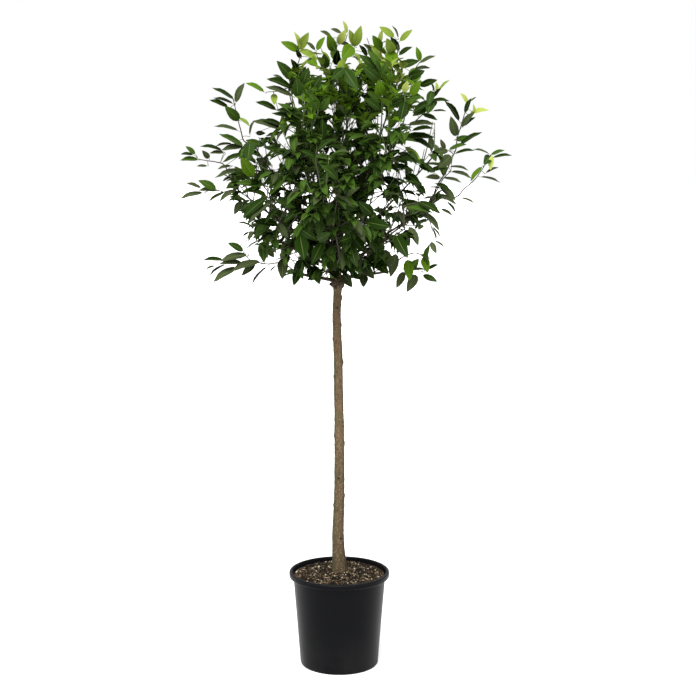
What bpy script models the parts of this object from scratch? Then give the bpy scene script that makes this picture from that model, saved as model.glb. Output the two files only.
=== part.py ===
"""A standard ornamental cherry: an evergreen round head on a clear stem, growing in a nursery pot.

Metres, +Z up. The origin is the middle of the pot's flat underside, and -Y is the side the tree
is seen from. Azimuths turn from +X (right) through +Y (back).
"""

import math
import random
from collections import namedtuple

import bmesh
import bpy
from mathutils import Matrix, Vector
from mathutils.bvhtree import BVHTree

UP = Vector((0.0, 0.0, 1.0))
GAP = 0.0003              # clearance between pieces that touch
GOLDEN_ANGLE = math.radians(137.5)

# Pot: a tapered bucket with a rolled lip and drain holes in its floor
POT_HEIGHT = 0.295
LIP_RADIUS = 0.155
LIP_DEPTH = 0.0175
LIP_ROUND = 0.0035
MOUTH_RADIUS = 0.1455
WALL_TOP_RADIUS = 0.1423
FOOT_RADIUS = 0.1206
FOOT_ROUND = 0.005
WALL = 0.0028
FLOOR = 0.0035
POT_STEPS = 30
DRAIN_HOLES = 6
DRAIN_RADIUS = 0.008
DRAIN_CIRCLE = 0.088
DRAIN_SIDES = 8

# Potting mix: fills the pot, and rises a little towards the stem
MIX_EDGE_HEIGHT = 0.284
MIX_TOP_HEIGHT = 0.2925
MIX_FLAT_RADIUS = 0.032
MIX_SHOULDER = 0.002      # the mound ends this far short of the side
MOUND_POINTS = 4

# Trunk: a clear stem that leans a little to the left, with a flared foot and a swollen head
TRUNK_FOOT = MIX_TOP_HEIGHT + GAP
HEAD_HEIGHT = 1.19
TRUNK_TIP = 1.365
FOOT_STEM_RADIUS = 0.0173
HEAD_STEM_RADIUS = 0.0122
TIP_STEM_RADIUS = 0.0085
FLARE = 0.0075
FLARE_HEIGHT = 0.07
HEAD_SWELL = 0.0078
HEAD_SWELL_HEIGHT = 0.012
TRUNK_RINGS = 16
TRUNK_SIDES = 10
SCAR_HEIGHTS = (0.505, 0.72, 0.96, 1.06, 1.136)   # swellings where side shoots were cut off
SCAR_SWELL = 0.0018
SCAR_SPREAD = 0.009
RING_STEP = 1.3                                   # between the rings at a swelling, of its spread
RING_CLEAR = 2.2                                  # no even ring stands nearer a swelling than this
STEM_WANDER = (                                   # height, sideways shift of the stem's middle
    (0.29, 0.0), (0.41, -0.004), (0.54, 0.0), (0.71, 0.0), (0.94, -0.003), (1.09, -0.008), (1.19, -0.005),
)

# Boughs: each leaves the trunk at its own height, rises outwards and ends where its foliage begins
BOUGH_ROOT_RADIUS = 0.0062
BOUGH_TIP_RADIUS = 0.0046
BOUGH_LENGTH = 0.115
BOUGH_POINTS = 4
BOUGH_SIDES = 6
LOWEST_BOUGH = 1.197
HIGHEST_BOUGH = 1.320
LEADER_SEAT = 0.008                               # how far the leader's curve starts inside the trunk
OUTWARD_SWEEP = 0.50                              # how far out a bough's bend lies, of its reach
UPWARD_SWEEP = 0.42                               # how far up the bend lies, of its rise
ROOT_SWEEP = 0.03                                 # added outwards, so a steep bough clears the trunk
ARCH = 0.02

Bough = namedtuple("Bough", "name azimuth reach tip_height")
BOUGHS = (                                        # from the lowest on the trunk to the leader
    Bough("low_left", 186, 0.395, 1.262),
    Bough("low_right", 340, 0.290, 1.240),
    Bough("low_back", 100, 0.330, 1.275),
    Bough("low_front", 258, 0.300, 1.250),
    Bough("right_back", 42, 0.420, 1.430),
    Bough("left_front", 201, 0.460, 1.480),
    Bough("right_front", 310, 0.400, 1.425),
    Bough("left_back", 136, 0.420, 1.445),
    Bough("right", 3, 0.505, 1.590),
    Bough("front", 262, 0.420, 1.530),
    Bough("left", 172, 0.460, 1.590),
    Bough("back", 84, 0.430, 1.560),
    Bough("upper_right", 16, 0.440, 1.735),
    Bough("upper_left", 164, 0.375, 1.765),
    Bough("upper_front_right", 312, 0.320, 1.765),
    Bough("upper_front_left", 236, 0.310, 1.775),
    Bough("upper_back", 84, 0.300, 1.790),
    Bough("top_left", 190, 0.175, 1.890),
    Bough("top_right", 352, 0.210, 1.935),
    Bough("leader", 280, 0.030, 1.958),
)

# Foliage: twigs branch off the stem that carries on from a bough, and leaves stand on all of them.
# A mass keeps to its own space, which lies above the crown's floor and within the bough's reach.
CROWN_MIDDLE = Vector((0.0, 0.0, 1.54))
CROWN_FLOOR = 1.172
STEM_ROOT_RADIUS = 0.0058
STEM_TIP_RADIUS = 0.0030
STEM_POINTS = 4
STEM_LEAVES_FROM = 0.35
LAST_LEAF = 0.93                                  # the stem ends this share of a leaf short of the reach
TWIGS = 7
FIRST_TWIG = 0.04                                 # of the stem's run
TWIGS_RUN = 0.84
TWIG_LENGTH = 0.130
TWIG_LENGTH_RANGE = (0.88, 1.12)
TWIG_SHORTENING = 0.5                             # from the first twig to the last
TWIG_ROOT_RADIUS = 0.0026
TWIG_TIP_RADIUS = 0.0018
TWIG_SPREAD = math.radians(63)
TWIG_CLOSING = 0.286                              # how much nearer the stem the last twig points
TWIG_LIFT = 0.40
TWIG_LEAVES_FROM = 0.45
LEAF_LENGTH = 0.108
LEAF_WIDTH = 0.046
LEAF_SIZES = (0.88, 1.06)
LEAF_THICKNESS = 0.0022
LEAF_WIDEST = 0.42                                # of its length, from the stalk
LEAF_FOLD = 0.004
LEAF_DROOP = 0.014
LEAF_SINK = 0.0008
LEAF_CLEAR = 0.004                                # a leaf may touch what it stands on this near its root
TWIG_CLEAR = 0.012                                # and so may a twig
LEAF_SPACING = 0.060
LEAF_SPREAD = math.radians(52)
TIP_LEAVES = 3
TIP_SPREAD = math.radians(34)
TIP_STEP = 0.006                                  # between the leaves of the cluster at a twig's tip
OUTWARD_FACING = 0.6                              # how far a leaf's face turns outwards from straight up
REACH_MARGIN = 0.008                              # allowed past the outermost leaf's tip
SPACE_MARGIN = 0.0006                             # kept from the next mass's space, on each side
LIMB_MARGIN = 0.0012                              # kept from every bough and the trunk
TRIES = 9                                         # each turns further and is shorter than the last
WANDER = 0.11
LEAF_SHORTER = 0.03
TWIG_SHORTER = 0.08
FACING_WANDER = 0.5
SEED = 15


def smoothstep(t):
    return t * t * (3.0 - 2.0 * t)


def bell(x, spread):
    return math.exp(-((x / spread) ** 2))


def material(name, colour, roughness, metallic=0.0):
    """A plain Principled material."""
    made = bpy.data.materials.new(name)
    made.use_nodes = True
    shader = made.node_tree.nodes["Principled BSDF"]
    shader.inputs["Base Color"].default_value = (*colour, 1.0)
    shader.inputs["Roughness"].default_value = roughness
    shader.inputs["Metallic"].default_value = metallic
    return made


def add_object(name, data, collection, finish=None):
    made = bpy.data.objects.new(name, data)
    collection.objects.link(made)
    if finish and not data.materials:
        data.materials.append(finish)
    return made


def apply_modifiers(thing):
    """Gives the object the mesh that its modifiers make, and removes them."""
    evaluated = thing.evaluated_get(bpy.context.evaluated_depsgraph_get())
    made = bpy.data.meshes.new_from_object(evaluated)
    made.name = thing.name
    thing.modifiers.clear()
    thing.data = made
    return made


def shade_round(mesh, angle=40.0):
    mesh.shade_smooth()
    mesh.set_sharp_from_angle(angle=math.radians(angle))


def turned(name, profile, steps, collection, finish):
    """Turns a profile of (radius, height) points about the Z axis."""
    mesh = bpy.data.meshes.new(name)
    points = [(radius, 0.0, height) for radius, height in profile]
    mesh.from_pydata(points, [(i, i + 1) for i in range(len(points) - 1)], [])
    made = add_object(name, mesh, collection, finish)
    screw = made.modifiers.new("Turn", "SCREW")
    screw.axis = "Z"
    screw.steps = steps
    screw.render_steps = steps
    screw.use_merge_vertices = True
    screw.merge_threshold = 0.00001
    screw.use_smooth_shade = True
    apply_modifiers(made)
    shade_round(made.data)
    return made


def quarter_round(centre, radius, start, steps=2):
    """Points on a quarter circle that turns clockwise from the start angle, in degrees."""
    angles = [math.radians(start - 90.0 * i / steps) for i in range(steps + 1)]
    return [(centre[0] + radius * math.cos(a), centre[1] + radius * math.sin(a)) for a in angles]


def wall_radius(height):
    """The pot's outer radius at a height, between its foot and the underside of its lip."""
    return FOOT_RADIUS + (WALL_TOP_RADIUS - FOOT_RADIUS) * height / (POT_HEIGHT - LIP_DEPTH)


def make_pot(collection, cutters, finish):
    lip_bottom = POT_HEIGHT - LIP_DEPTH
    outer_lip = (
        quarter_round((LIP_RADIUS - LIP_ROUND, POT_HEIGHT - LIP_ROUND), LIP_ROUND, 90.0)
        + quarter_round((LIP_RADIUS - LIP_ROUND, lip_bottom + LIP_ROUND), LIP_ROUND, 0.0)
    )
    foot = quarter_round((wall_radius(FOOT_ROUND) - FOOT_ROUND, FOOT_ROUND), FOOT_ROUND, 0.0)
    profile = (
        [(MOUTH_RADIUS, POT_HEIGHT)]
        + outer_lip
        + [(wall_radius(lip_bottom), lip_bottom)]
        + foot
        + [(0.0, 0.0), (0.0, FLOOR)]
        + [(wall_radius(FLOOR) - WALL, FLOOR), (wall_radius(lip_bottom) - WALL, lip_bottom)]
        + [(MOUTH_RADIUS, POT_HEIGHT)]
    )
    pot = turned("pot", profile, POT_STEPS, collection, finish)
    for k in range(DRAIN_HOLES):
        angle = math.tau * (k + 0.5) / DRAIN_HOLES
        place = (DRAIN_CIRCLE * math.cos(angle), DRAIN_CIRCLE * math.sin(angle), FLOOR / 2)
        drill_hole(pot, place, cutters)
    apply_modifiers(pot)
    shade_round(pot.data)
    return pot


def drill_hole(pot, place, cutters):
    bm = bmesh.new()
    bmesh.ops.create_cone(
        bm, cap_ends=True, segments=DRAIN_SIDES, radius1=DRAIN_RADIUS, radius2=DRAIN_RADIUS, depth=4 * FLOOR
    )
    mesh = bpy.data.meshes.new("drain_cutter")
    bm.to_mesh(mesh)
    bm.free()
    cutter = add_object("drain_cutter", mesh, cutters)
    cutter.location = place
    hide_cutter(cutter)
    cut = pot.modifiers.new("Drain", "BOOLEAN")
    cut.operation = "DIFFERENCE"
    cut.object = cutter


def hide_cutter(cutter):
    cutter.hide_render = True
    cutter.display_type = "WIRE"


def make_potting_mix(collection, finish):
    """The root ball's mix, clear of the pot's wall and floor, with a low mound under the stem."""
    bottom = FLOOR + GAP
    side = WALL + GAP
    edge = wall_radius(MIX_EDGE_HEIGHT) - side - MIX_SHOULDER
    mound = []
    for k in range(MOUND_POINTS):
        t = k / (MOUND_POINTS - 1)
        radius = MIX_FLAT_RADIUS + (edge - MIX_FLAT_RADIUS) * t
        mound.append((radius, MIX_TOP_HEIGHT + (MIX_EDGE_HEIGHT - MIX_TOP_HEIGHT) * smoothstep(t)))
    wall_top = POT_HEIGHT - LIP_DEPTH
    profile = (
        [(0.0, MIX_TOP_HEIGHT)]
        + mound
        + [(wall_radius(wall_top) - side, wall_top), (wall_radius(bottom) - side, bottom)]
        + [(0.0, bottom)]
    )
    return turned("potting_mix", profile, POT_STEPS, collection, finish)


def stem_middle(height):
    """Where the trunk's middle is at a height, read smoothly from the wander of the stem."""
    if height <= STEM_WANDER[0][0]:
        return Vector((STEM_WANDER[0][1], 0.0, height))
    for (low, from_x), (high, to_x) in zip(STEM_WANDER, STEM_WANDER[1:]):
        if height <= high:
            t = smoothstep((height - low) / (high - low))
            return Vector((from_x + (to_x - from_x) * t, 0.0, height))
    return Vector((STEM_WANDER[-1][1], 0.0, height))


def stem_radius(height):
    """The trunk's radius: an even taper, the flare at its foot, the swollen head and the scars."""
    if height < HEAD_HEIGHT:
        t = (height - TRUNK_FOOT) / (HEAD_HEIGHT - TRUNK_FOOT)
        radius = FOOT_STEM_RADIUS + (HEAD_STEM_RADIUS - FOOT_STEM_RADIUS) * t
    else:
        t = (height - HEAD_HEIGHT) / (TRUNK_TIP - HEAD_HEIGHT)
        radius = HEAD_STEM_RADIUS + (TIP_STEM_RADIUS - HEAD_STEM_RADIUS) * t
    radius += FLARE * math.exp(-(height - TRUNK_FOOT) / FLARE_HEIGHT)
    radius += HEAD_SWELL * bell(height - HEAD_HEIGHT, HEAD_SWELL_HEIGHT)
    radius += sum(SCAR_SWELL * bell(height - scar, SCAR_SPREAD) for scar in SCAR_HEIGHTS)
    return radius


def trunk_heights():
    """Even rings, with three more at each scar and at the swollen head."""
    step = (TRUNK_TIP - TRUNK_FOOT) / TRUNK_RINGS
    even = [TRUNK_FOOT + step * k for k in range(TRUNK_RINGS + 1)]
    marks = [(scar, SCAR_SPREAD) for scar in SCAR_HEIGHTS] + [(HEAD_HEIGHT, HEAD_SWELL_HEIGHT)]
    close = [mark + spread * side for mark, spread in marks for side in (-RING_STEP, 0.0, RING_STEP)]
    clear = [h for h in even if all(abs(h - mark) > RING_CLEAR * spread for mark, spread in marks)]
    return sorted(clear + close)


def tube(name, points, radii, sides, collection, finish=None):
    """A closed tapering limb: a poly curve with a radius at each point, made a mesh."""
    curve = bpy.data.curves.new(name, "CURVE")
    curve.dimensions = "3D"
    curve.use_fill_caps = True
    curve.twist_mode = "MINIMUM"
    if sides == 3:
        curve.bevel_mode = "OBJECT"
        curve.bevel_object = bpy.data.objects["three_sided_profile"]
    else:
        curve.bevel_depth = 1.0
        curve.bevel_resolution = (sides - 4) // 2
    spline = curve.splines.new("POLY")
    spline.points.add(len(points) - 1)
    for spot, place, radius in zip(spline.points, points, radii):
        spot.co = (*place, 1.0)
        spot.radius = radius
    drawn = add_object(name + "_curve", curve, collection)
    evaluated = drawn.evaluated_get(bpy.context.evaluated_depsgraph_get())
    mesh = bpy.data.meshes.new_from_object(evaluated)
    mesh.name = name
    bpy.data.objects.remove(drawn)
    bpy.data.curves.remove(curve)
    bm = bmesh.new()
    bm.from_mesh(mesh)
    bmesh.ops.remove_doubles(bm, verts=bm.verts, dist=0.00001)
    bmesh.ops.recalc_face_normals(bm, faces=bm.faces)
    bm.to_mesh(mesh)
    bm.free()
    mesh.materials.clear()
    return add_object(name, mesh, collection, finish)


def make_three_sided_profile(guides):
    """The closed triangle that twigs are swept from."""
    curve = bpy.data.curves.new("three_sided_profile", "CURVE")
    spline = curve.splines.new("POLY")
    spline.points.add(2)
    for k, point in enumerate(spline.points):
        angle = math.tau * k / 3
        point.co = (math.cos(angle), math.sin(angle), 0.0, 1.0)
    spline.use_cyclic_u = True
    guide = add_object("three_sided_profile", curve, guides)
    hide_cutter(guide)


def make_trunk(collection, finish):
    heights = trunk_heights()
    radii = [stem_radius(h) for h in heights]
    trunk = tube("trunk", [stem_middle(h) for h in heights], radii, TRUNK_SIDES, collection, finish)
    for vertex in trunk.data.vertices:          # the cuts at foot and tip are level
        vertex.co.z = min(max(vertex.co.z, TRUNK_FOOT), TRUNK_TIP)
    shade_round(trunk.data)
    return trunk


def bough_curve(index):
    """The three points of the curve from the trunk's middle to a bough's outermost leaf."""
    bough = BOUGHS[index]
    rank = index / (len(BOUGHS) - 2)
    height = LOWEST_BOUGH + (HIGHEST_BOUGH - LOWEST_BOUGH) * rank
    azimuth = math.radians(bough.azimuth)
    outward = Vector((math.cos(azimuth), math.sin(azimuth), 0.0))
    if bough.name == "leader":
        height = TRUNK_TIP - LEADER_SEAT
    root = stem_middle(height)
    tip = outward * bough.reach + UP * bough.tip_height
    out = 0.0 if bough.name == "leader" else OUTWARD_SWEEP * bough.reach + ROOT_SWEEP
    bend = root + outward * out + UP * (UPWARD_SWEEP * (tip.z - root.z) + ARCH)
    return root, bend, tip


def along(curve, t):
    root, bend, tip = curve
    return root * (1 - t) ** 2 + bend * (2 * t * (1 - t)) + tip * t ** 2


def heading(curve, t):
    root, bend, tip = curve
    return ((bend - root) * (1 - t) + (tip - bend) * t).normalized()


def stretch(curve, start, end, count):
    """Points at even steps along part of a curve."""
    return [along(curve, start + (end - start) * k / (count - 1)) for k in range(count)]


def even_taper(root, tip, count):
    return [root + (tip - root) * k / (count - 1) for k in range(count)]


def bough_share(curve):
    """How much of the way to the outermost leaf is bough."""
    return BOUGH_LENGTH / (curve[2] - curve[0]).length


def make_bough(index, trunk_cutter, collection, finish):
    """One tapering limb, its root cut to the trunk's side, or to its tip for the leader."""
    curve = bough_curve(index)
    points = stretch(curve, 0.0, bough_share(curve), BOUGH_POINTS)
    radii = even_taper(BOUGH_ROOT_RADIUS, BOUGH_TIP_RADIUS, BOUGH_POINTS)
    made = tube("bough_" + BOUGHS[index].name, points, radii, BOUGH_SIDES, collection, finish)
    cut = made.modifiers.new("Seat", "BOOLEAN")
    cut.operation = "DIFFERENCE"
    cut.object = trunk_cutter
    apply_modifiers(made)
    shade_round(made.data, 50.0)
    return made


def make_trunk_cutter(cutters):
    """The trunk, stouter by the gap, that each bough's root is cut with."""
    heights = trunk_heights()
    heights[-1] += GAP
    radii = [stem_radius(h) + GAP for h in heights]
    cutter = tube("trunk_cutter", [stem_middle(h) for h in heights], radii, TRUNK_SIDES, cutters)
    hide_cutter(cutter)
    return cutter


def leaf_template():
    """A leaf of eight faces, folded along its middle, from a sphere of four segments and two rings."""
    bm = bmesh.new()
    bmesh.ops.create_uvsphere(bm, u_segments=4, v_segments=2, radius=1.0)
    widest = LEAF_WIDEST * LEAF_LENGTH
    for vertex in bm.verts:
        across, up, length = vertex.co
        vertex.co = (
            widest + max(length, 0.0) * (LEAF_LENGTH - widest) + min(length, 0.0) * (widest + LEAF_SINK),
            across * LEAF_WIDTH / 2,
            up * LEAF_THICKNESS / 2 + abs(across) * LEAF_FOLD - max(length, 0.0) * LEAF_DROOP,
        )
    mesh = bpy.data.meshes.new("leaf")
    bm.to_mesh(mesh)
    bm.free()
    return mesh


def frame_from(direction, roll_axis):
    """Axes with X along the direction and Z as near to roll_axis as it can be."""
    x = direction.normalized()
    y = roll_axis.cross(x)
    if y.length < 1e-4:
        y = Vector((0.0, 1.0, 0.0)).cross(x)
    y.normalize()
    z = x.cross(y)
    return Matrix((x, y, z)).transposed()


def tilted(direction, spread, turn):
    """A direction at an angle to another, turned about it."""
    axes = frame_from(direction, UP)
    side = axes.col[1] * math.cos(turn) + axes.col[2] * math.sin(turn)
    return (direction.normalized() * math.cos(spread) + side * math.sin(spread)).normalized()


class Space:
    """The part of the crown that one mass keeps to: nearer its own middle than any other's."""

    def __init__(self, index, middles, limbs):
        own = middles[index]
        self.planes = [
            ((own + other) / 2, (other - own).normalized()) for k, other in enumerate(middles) if k != index
        ]
        self.planes.append((Vector((0.0, 0.0, CROWN_FLOOR)), -UP))
        self.reach = (bough_curve(index)[2] - CROWN_MIDDLE).length + REACH_MARGIN
        self.limbs = limbs
        self.placed = []

    def holds(self, points):
        return all((p - CROWN_MIDDLE).length < self.reach for p in points) and all(
            (p - spot).dot(normal) < -SPACE_MARGIN for spot, normal in self.planes for p in points
        )

    def takes(self, points, faces):
        """True where a new leaf or twig stays inside and touches no limb and nothing placed before."""
        if not self.holds(points):
            return False
        tree = BVHTree.FromPolygons(points, faces)
        return not tree.overlap(self.limbs) and not any(tree.overlap(other) for other in self.placed)

    def keep(self, points, faces):
        self.placed.append(BVHTree.FromPolygons(points, faces))


def mesh_shape(mesh, matrix=None):
    matrix = matrix or Matrix.Identity(4)
    return [matrix @ v.co for v in mesh.vertices], [tuple(p.vertices) for p in mesh.polygons]


def any_way(rng):
    return Vector((rng.uniform(-1, 1), rng.uniform(-1, 1), rng.uniform(-1, 1)))


def grow_leaf(place, direction, space, template, rng, collection):
    """Stands one leaf on a twig, facing up and outwards, or skips it where no turn of it fits."""
    outward = (place - CROWN_MIDDLE).normalized()
    for attempt in range(TRIES):
        wander = any_way(rng)
        pointing = (direction + wander * WANDER * (1 + attempt)).normalized()
        facing = (UP + outward * OUTWARD_FACING + wander * FACING_WANDER).normalized()
        size = rng.uniform(*LEAF_SIZES) * (1.0 - LEAF_SHORTER * attempt)
        matrix = Matrix.Translation(place) @ frame_from(pointing, facing).to_4x4() @ Matrix.Scale(size, 4)
        points, faces = mesh_shape(template, matrix)
        blade = [p + pointing * LEAF_CLEAR for p in points]
        if space.holds(points) and space.takes(blade, faces):
            mesh = template.copy()
            mesh.transform(matrix)
            add_object("leaf", mesh, collection)
            space.keep(blade, faces)
            return True
    return False


def grow_twig(place, direction, length, space, rng, collection):
    """One three-sided twig that bends upwards, or None where no turn of it fits."""
    for attempt in range(TRIES):
        pointing = (direction + any_way(rng) * WANDER * (1 + attempt)).normalized()
        reach = length * (1.0 - TWIG_SHORTER * attempt)
        middle = place + pointing * reach * 0.5
        end = middle + (pointing + UP * TWIG_LIFT).normalized() * reach * 0.5
        points = [place, middle, end]
        radii = even_taper(TWIG_ROOT_RADIUS, TWIG_TIP_RADIUS, 3)
        twig = tube("twig", points, radii, 3, collection)
        shape = mesh_shape(twig.data, Matrix.Translation(pointing * TWIG_CLEAR))
        if space.takes(*shape) and space.holds(mesh_shape(twig.data)[0]):
            space.keep(*shape)
            return twig, points
        bpy.data.objects.remove(twig)
    return None


def dress_twig(points, start, space, template, rng, turn, collection):
    """Leaves turn about a twig at even steps, with a cluster at its tip."""
    lengths = [(b - a).length for a, b in zip(points, points[1:])]
    total = sum(lengths)
    count = max(2, round(total * (1 - start) / LEAF_SPACING))
    grown = 0
    for k in range(count):
        run = total * (start + (1 - start) * k / count)
        place, direction = point_on(points, lengths, run)
        turn += GOLDEN_ANGLE
        grown += grow_leaf(place, tilted(direction, LEAF_SPREAD, turn), space, template, rng, collection)
    for k in range(TIP_LEAVES):
        tip, direction = point_on(points, lengths, total - TIP_STEP * (k + 0.5))
        outward = tilted(direction, TIP_SPREAD if k else 0.0, turn + math.tau * k / TIP_LEAVES)
        grown += grow_leaf(tip, outward, space, template, rng, collection)
    return grown


def point_on(points, lengths, run):
    """The place and heading a distance along a bent twig."""
    for k, length in enumerate(lengths):
        if run <= length or k == len(lengths) - 1:
            direction = (points[k + 1] - points[k]).normalized()
            return points[k] + direction * min(run, length), direction
        run -= length


def largest_piece(mesh):
    """Keeps the biggest closed piece, so a sealed hollow is filled and a loose scrap is dropped."""
    bm = bmesh.new()
    bm.from_mesh(mesh)
    bm.faces.ensure_lookup_table()
    seen = set()
    pieces = []
    for first in bm.faces:
        if first in seen:
            continue
        seen.add(first)
        piece = []
        queue = [first]
        while queue:
            face = queue.pop()
            piece.append(face)
            for edge in face.edges:
                for near in edge.link_faces:
                    if near not in seen:
                        seen.add(near)
                        queue.append(near)
        pieces.append(piece)
    pieces.sort(key=len)
    for piece in pieces[:-1]:
        bmesh.ops.delete(bm, geom=piece, context="FACES")
    bmesh.ops.triangulate(bm, faces=bm.faces)
    bm.to_mesh(mesh)
    bm.free()


def stem_ends(curve):
    """Where on a bough's curve its stem starts, clear of the bough, and where its last leaf stands."""
    span = (curve[2] - curve[0]).length
    return bough_share(curve) + GAP / span, 1.0 - LAST_LEAF * LEAF_LENGTH / span


def make_stem(index, collection, finish):
    """The stem that carries on from a bough, which the rest of its mass is joined to."""
    curve = bough_curve(index)
    points = stretch(curve, *stem_ends(curve), STEM_POINTS)
    radii = even_taper(STEM_ROOT_RADIUS, STEM_TIP_RADIUS, STEM_POINTS)
    return tube("foliage_" + BOUGHS[index].name, points, radii, 3, collection, finish)


def grow_foliage(index, mass, space, template, growing):
    """Grows one mass on its stem, twigs first and then leaves, and joins it all by one union."""
    curve = bough_curve(index)
    rng = random.Random(SEED + 31 * index)
    start, end = stem_ends(curve)
    joined = bpy.data.collections.new("joined_" + mass.name)
    growing.children.link(joined)
    twigs = []
    turn = rng.uniform(0.0, math.tau)
    for k in range(TWIGS):
        t = start + (end - start) * (FIRST_TWIG + TWIGS_RUN * k / (TWIGS - 1))
        turn += GOLDEN_ANGLE
        direction = tilted(heading(curve, t), TWIG_SPREAD * (1.0 - TWIG_CLOSING * k / TWIGS), turn)
        length = TWIG_LENGTH * (1.0 - TWIG_SHORTENING * k / TWIGS) * rng.uniform(*TWIG_LENGTH_RANGE)
        twig = grow_twig(along(curve, t), direction, length, space, rng, joined)
        if twig:
            twigs.append(twig[1])
    stem = stretch(curve, start, end, STEM_POINTS)
    leaves = dress_twig(stem, STEM_LEAVES_FROM, space, template, rng, turn, joined)
    for twig in twigs:
        turn += GOLDEN_ANGLE
        leaves += dress_twig(twig, TWIG_LEAVES_FROM, space, template, rng, turn, joined)
    join = mass.modifiers.new("Join", "BOOLEAN")
    join.operation = "UNION"
    join.operand_type = "COLLECTION"
    join.collection = joined
    join.solver = "MANIFOLD"
    apply_modifiers(mass)
    largest_piece(mass.data)
    for grown in list(joined.objects):
        bpy.data.objects.remove(grown)
    bpy.data.collections.remove(joined)
    print(f"{mass.name}: {len(twigs)} twigs, {leaves} leaves, {len(mass.data.polygons)} triangles")


def limb_tree(limbs):
    """Every limb, a little stouter, as one tree that leaves and twigs are tried against."""
    points = []
    faces = []
    for limb in limbs:
        for polygon in limb.data.polygons:
            faces.append(tuple(len(points) + v for v in polygon.vertices))
        points.extend(v.co + v.normal * LIMB_MARGIN for v in limb.data.vertices)
    return BVHTree.FromPolygons(points, faces)


def clear_scene():
    for thing in list(bpy.data.objects):
        bpy.data.objects.remove(thing)


def new_collection(name):
    made = bpy.data.collections.new(name)
    bpy.context.scene.collection.children.link(made)
    return made


def main():
    clear_scene()
    tree = new_collection("potted_standard_cherry")
    cutters = new_collection("cutters")
    plastic = material("black_plastic", (0.028, 0.029, 0.032), 0.55)
    mix = material("potting_mix", (0.075, 0.052, 0.034), 0.95)
    bark = material("bark", (0.165, 0.118, 0.072), 0.85)
    leaf = material("leaf", (0.060, 0.115, 0.022), 0.45)
    make_three_sided_profile(cutters)
    make_pot(tree, cutters, plastic)
    make_potting_mix(tree, mix)
    trunk = make_trunk(tree, bark)
    trunk_cutter = make_trunk_cutter(cutters)
    boughs = [make_bough(k, trunk_cutter, tree, bark) for k in range(len(BOUGHS))]
    masses = [make_stem(k, tree, leaf) for k in range(len(BOUGHS))]
    curves = [bough_curve(k) for k in range(len(BOUGHS))]
    middles = [along(curve, (bough_share(curve) + 1.0) / 2) for curve in curves]
    template = leaf_template()
    for k, mass in enumerate(masses):
        limbs = limb_tree([trunk] + boughs + masses[:k] + masses[k + 1:])
        grow_foliage(k, mass, Space(k, middles, limbs), template, cutters)


main()
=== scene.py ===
"""A standard ornamental cherry in a nursery pot: leaves, twigs, bark, pot, potting mix and studio.

Laid out as a Blender add-on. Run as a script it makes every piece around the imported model, which it
loads as a fixed frame, in metres and with +Z up. -Y is the side that the camera looks from, and
azimuths turn from +X (right) through +Y (back).
"""

import math
import random
from collections import namedtuple

import bpy
import numpy as np
from bpy.props import FloatProperty, FloatVectorProperty, IntProperty, PointerProperty
from mathutils import Matrix, Vector, noise


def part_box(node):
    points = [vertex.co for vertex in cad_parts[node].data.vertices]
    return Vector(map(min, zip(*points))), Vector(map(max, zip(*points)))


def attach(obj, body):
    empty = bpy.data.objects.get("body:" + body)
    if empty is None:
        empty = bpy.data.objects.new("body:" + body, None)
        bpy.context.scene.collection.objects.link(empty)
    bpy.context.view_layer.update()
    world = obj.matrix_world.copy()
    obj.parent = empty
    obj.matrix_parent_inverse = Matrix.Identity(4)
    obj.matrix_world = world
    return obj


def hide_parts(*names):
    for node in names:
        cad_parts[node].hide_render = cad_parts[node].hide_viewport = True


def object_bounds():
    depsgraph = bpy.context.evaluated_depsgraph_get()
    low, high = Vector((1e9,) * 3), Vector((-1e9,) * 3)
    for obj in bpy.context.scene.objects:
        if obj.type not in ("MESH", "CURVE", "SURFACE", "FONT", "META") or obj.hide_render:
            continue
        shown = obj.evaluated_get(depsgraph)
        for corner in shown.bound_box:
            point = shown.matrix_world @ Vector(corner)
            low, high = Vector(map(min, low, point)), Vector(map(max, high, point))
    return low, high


bl_info = {
    "name": "Potted Standard Cherry",
    "version": (1, 0, 0),
    "blender": (4, 5, 0),
    "location": "View3D > Sidebar > Cherry",
    "description": "Makes a standard ornamental cherry in a nursery pot, with its leaves, bark and studio",
    "category": "Add Mesh",
}

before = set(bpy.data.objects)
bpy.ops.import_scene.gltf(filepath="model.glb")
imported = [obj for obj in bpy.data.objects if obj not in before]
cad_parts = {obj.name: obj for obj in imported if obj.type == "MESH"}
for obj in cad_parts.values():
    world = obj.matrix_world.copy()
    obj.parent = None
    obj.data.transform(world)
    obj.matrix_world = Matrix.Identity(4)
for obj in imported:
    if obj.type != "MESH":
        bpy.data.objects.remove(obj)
CAD_LOW, CAD_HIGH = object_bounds()
POT_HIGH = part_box("pot")[1]
MIX_LOW, MIX_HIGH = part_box("potting_mix")
TRUNK_LOW, TRUNK_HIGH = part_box("trunk")
BODY = "root"

UP = Vector((0.0, 0.0, 1.0))
LEVEL = Vector((1.0, 1.0, 0.0))  # a vector times this has lost its height
GOLDEN_ANGLE = math.radians(137.5)
TINY = 1e-6
PARALLEL = 1e-4  # directions with a shorter cross product count as parallel

# Camera of the front view, with lens and sensor in millimetres
CAMERA_PLACE = Vector((0.0, -4.570, 1.717))
CAMERA_TILT = math.radians(9.0)
CAMERA_LENS = 78.98
SENSOR_WIDTH = 36.0
CAMERA_SHIFT = 0.0125
VIEW_PIXELS = 696.0  # width and height of the front view, which the tables below count in
VIEW_MIDDLE = VIEW_PIXELS / 2
PIXELS_PER_SLOPE = CAMERA_LENS / SENSOR_WIDTH * VIEW_PIXELS

# Floor and light
FLOOR_SIZE = 60.0
FLOOR_DROP = 0.0005
KEY_LIGHT_TURN = (math.radians(38), math.radians(-9), 0.0)
KEY_LIGHT_SPREAD = math.radians(40)

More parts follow.
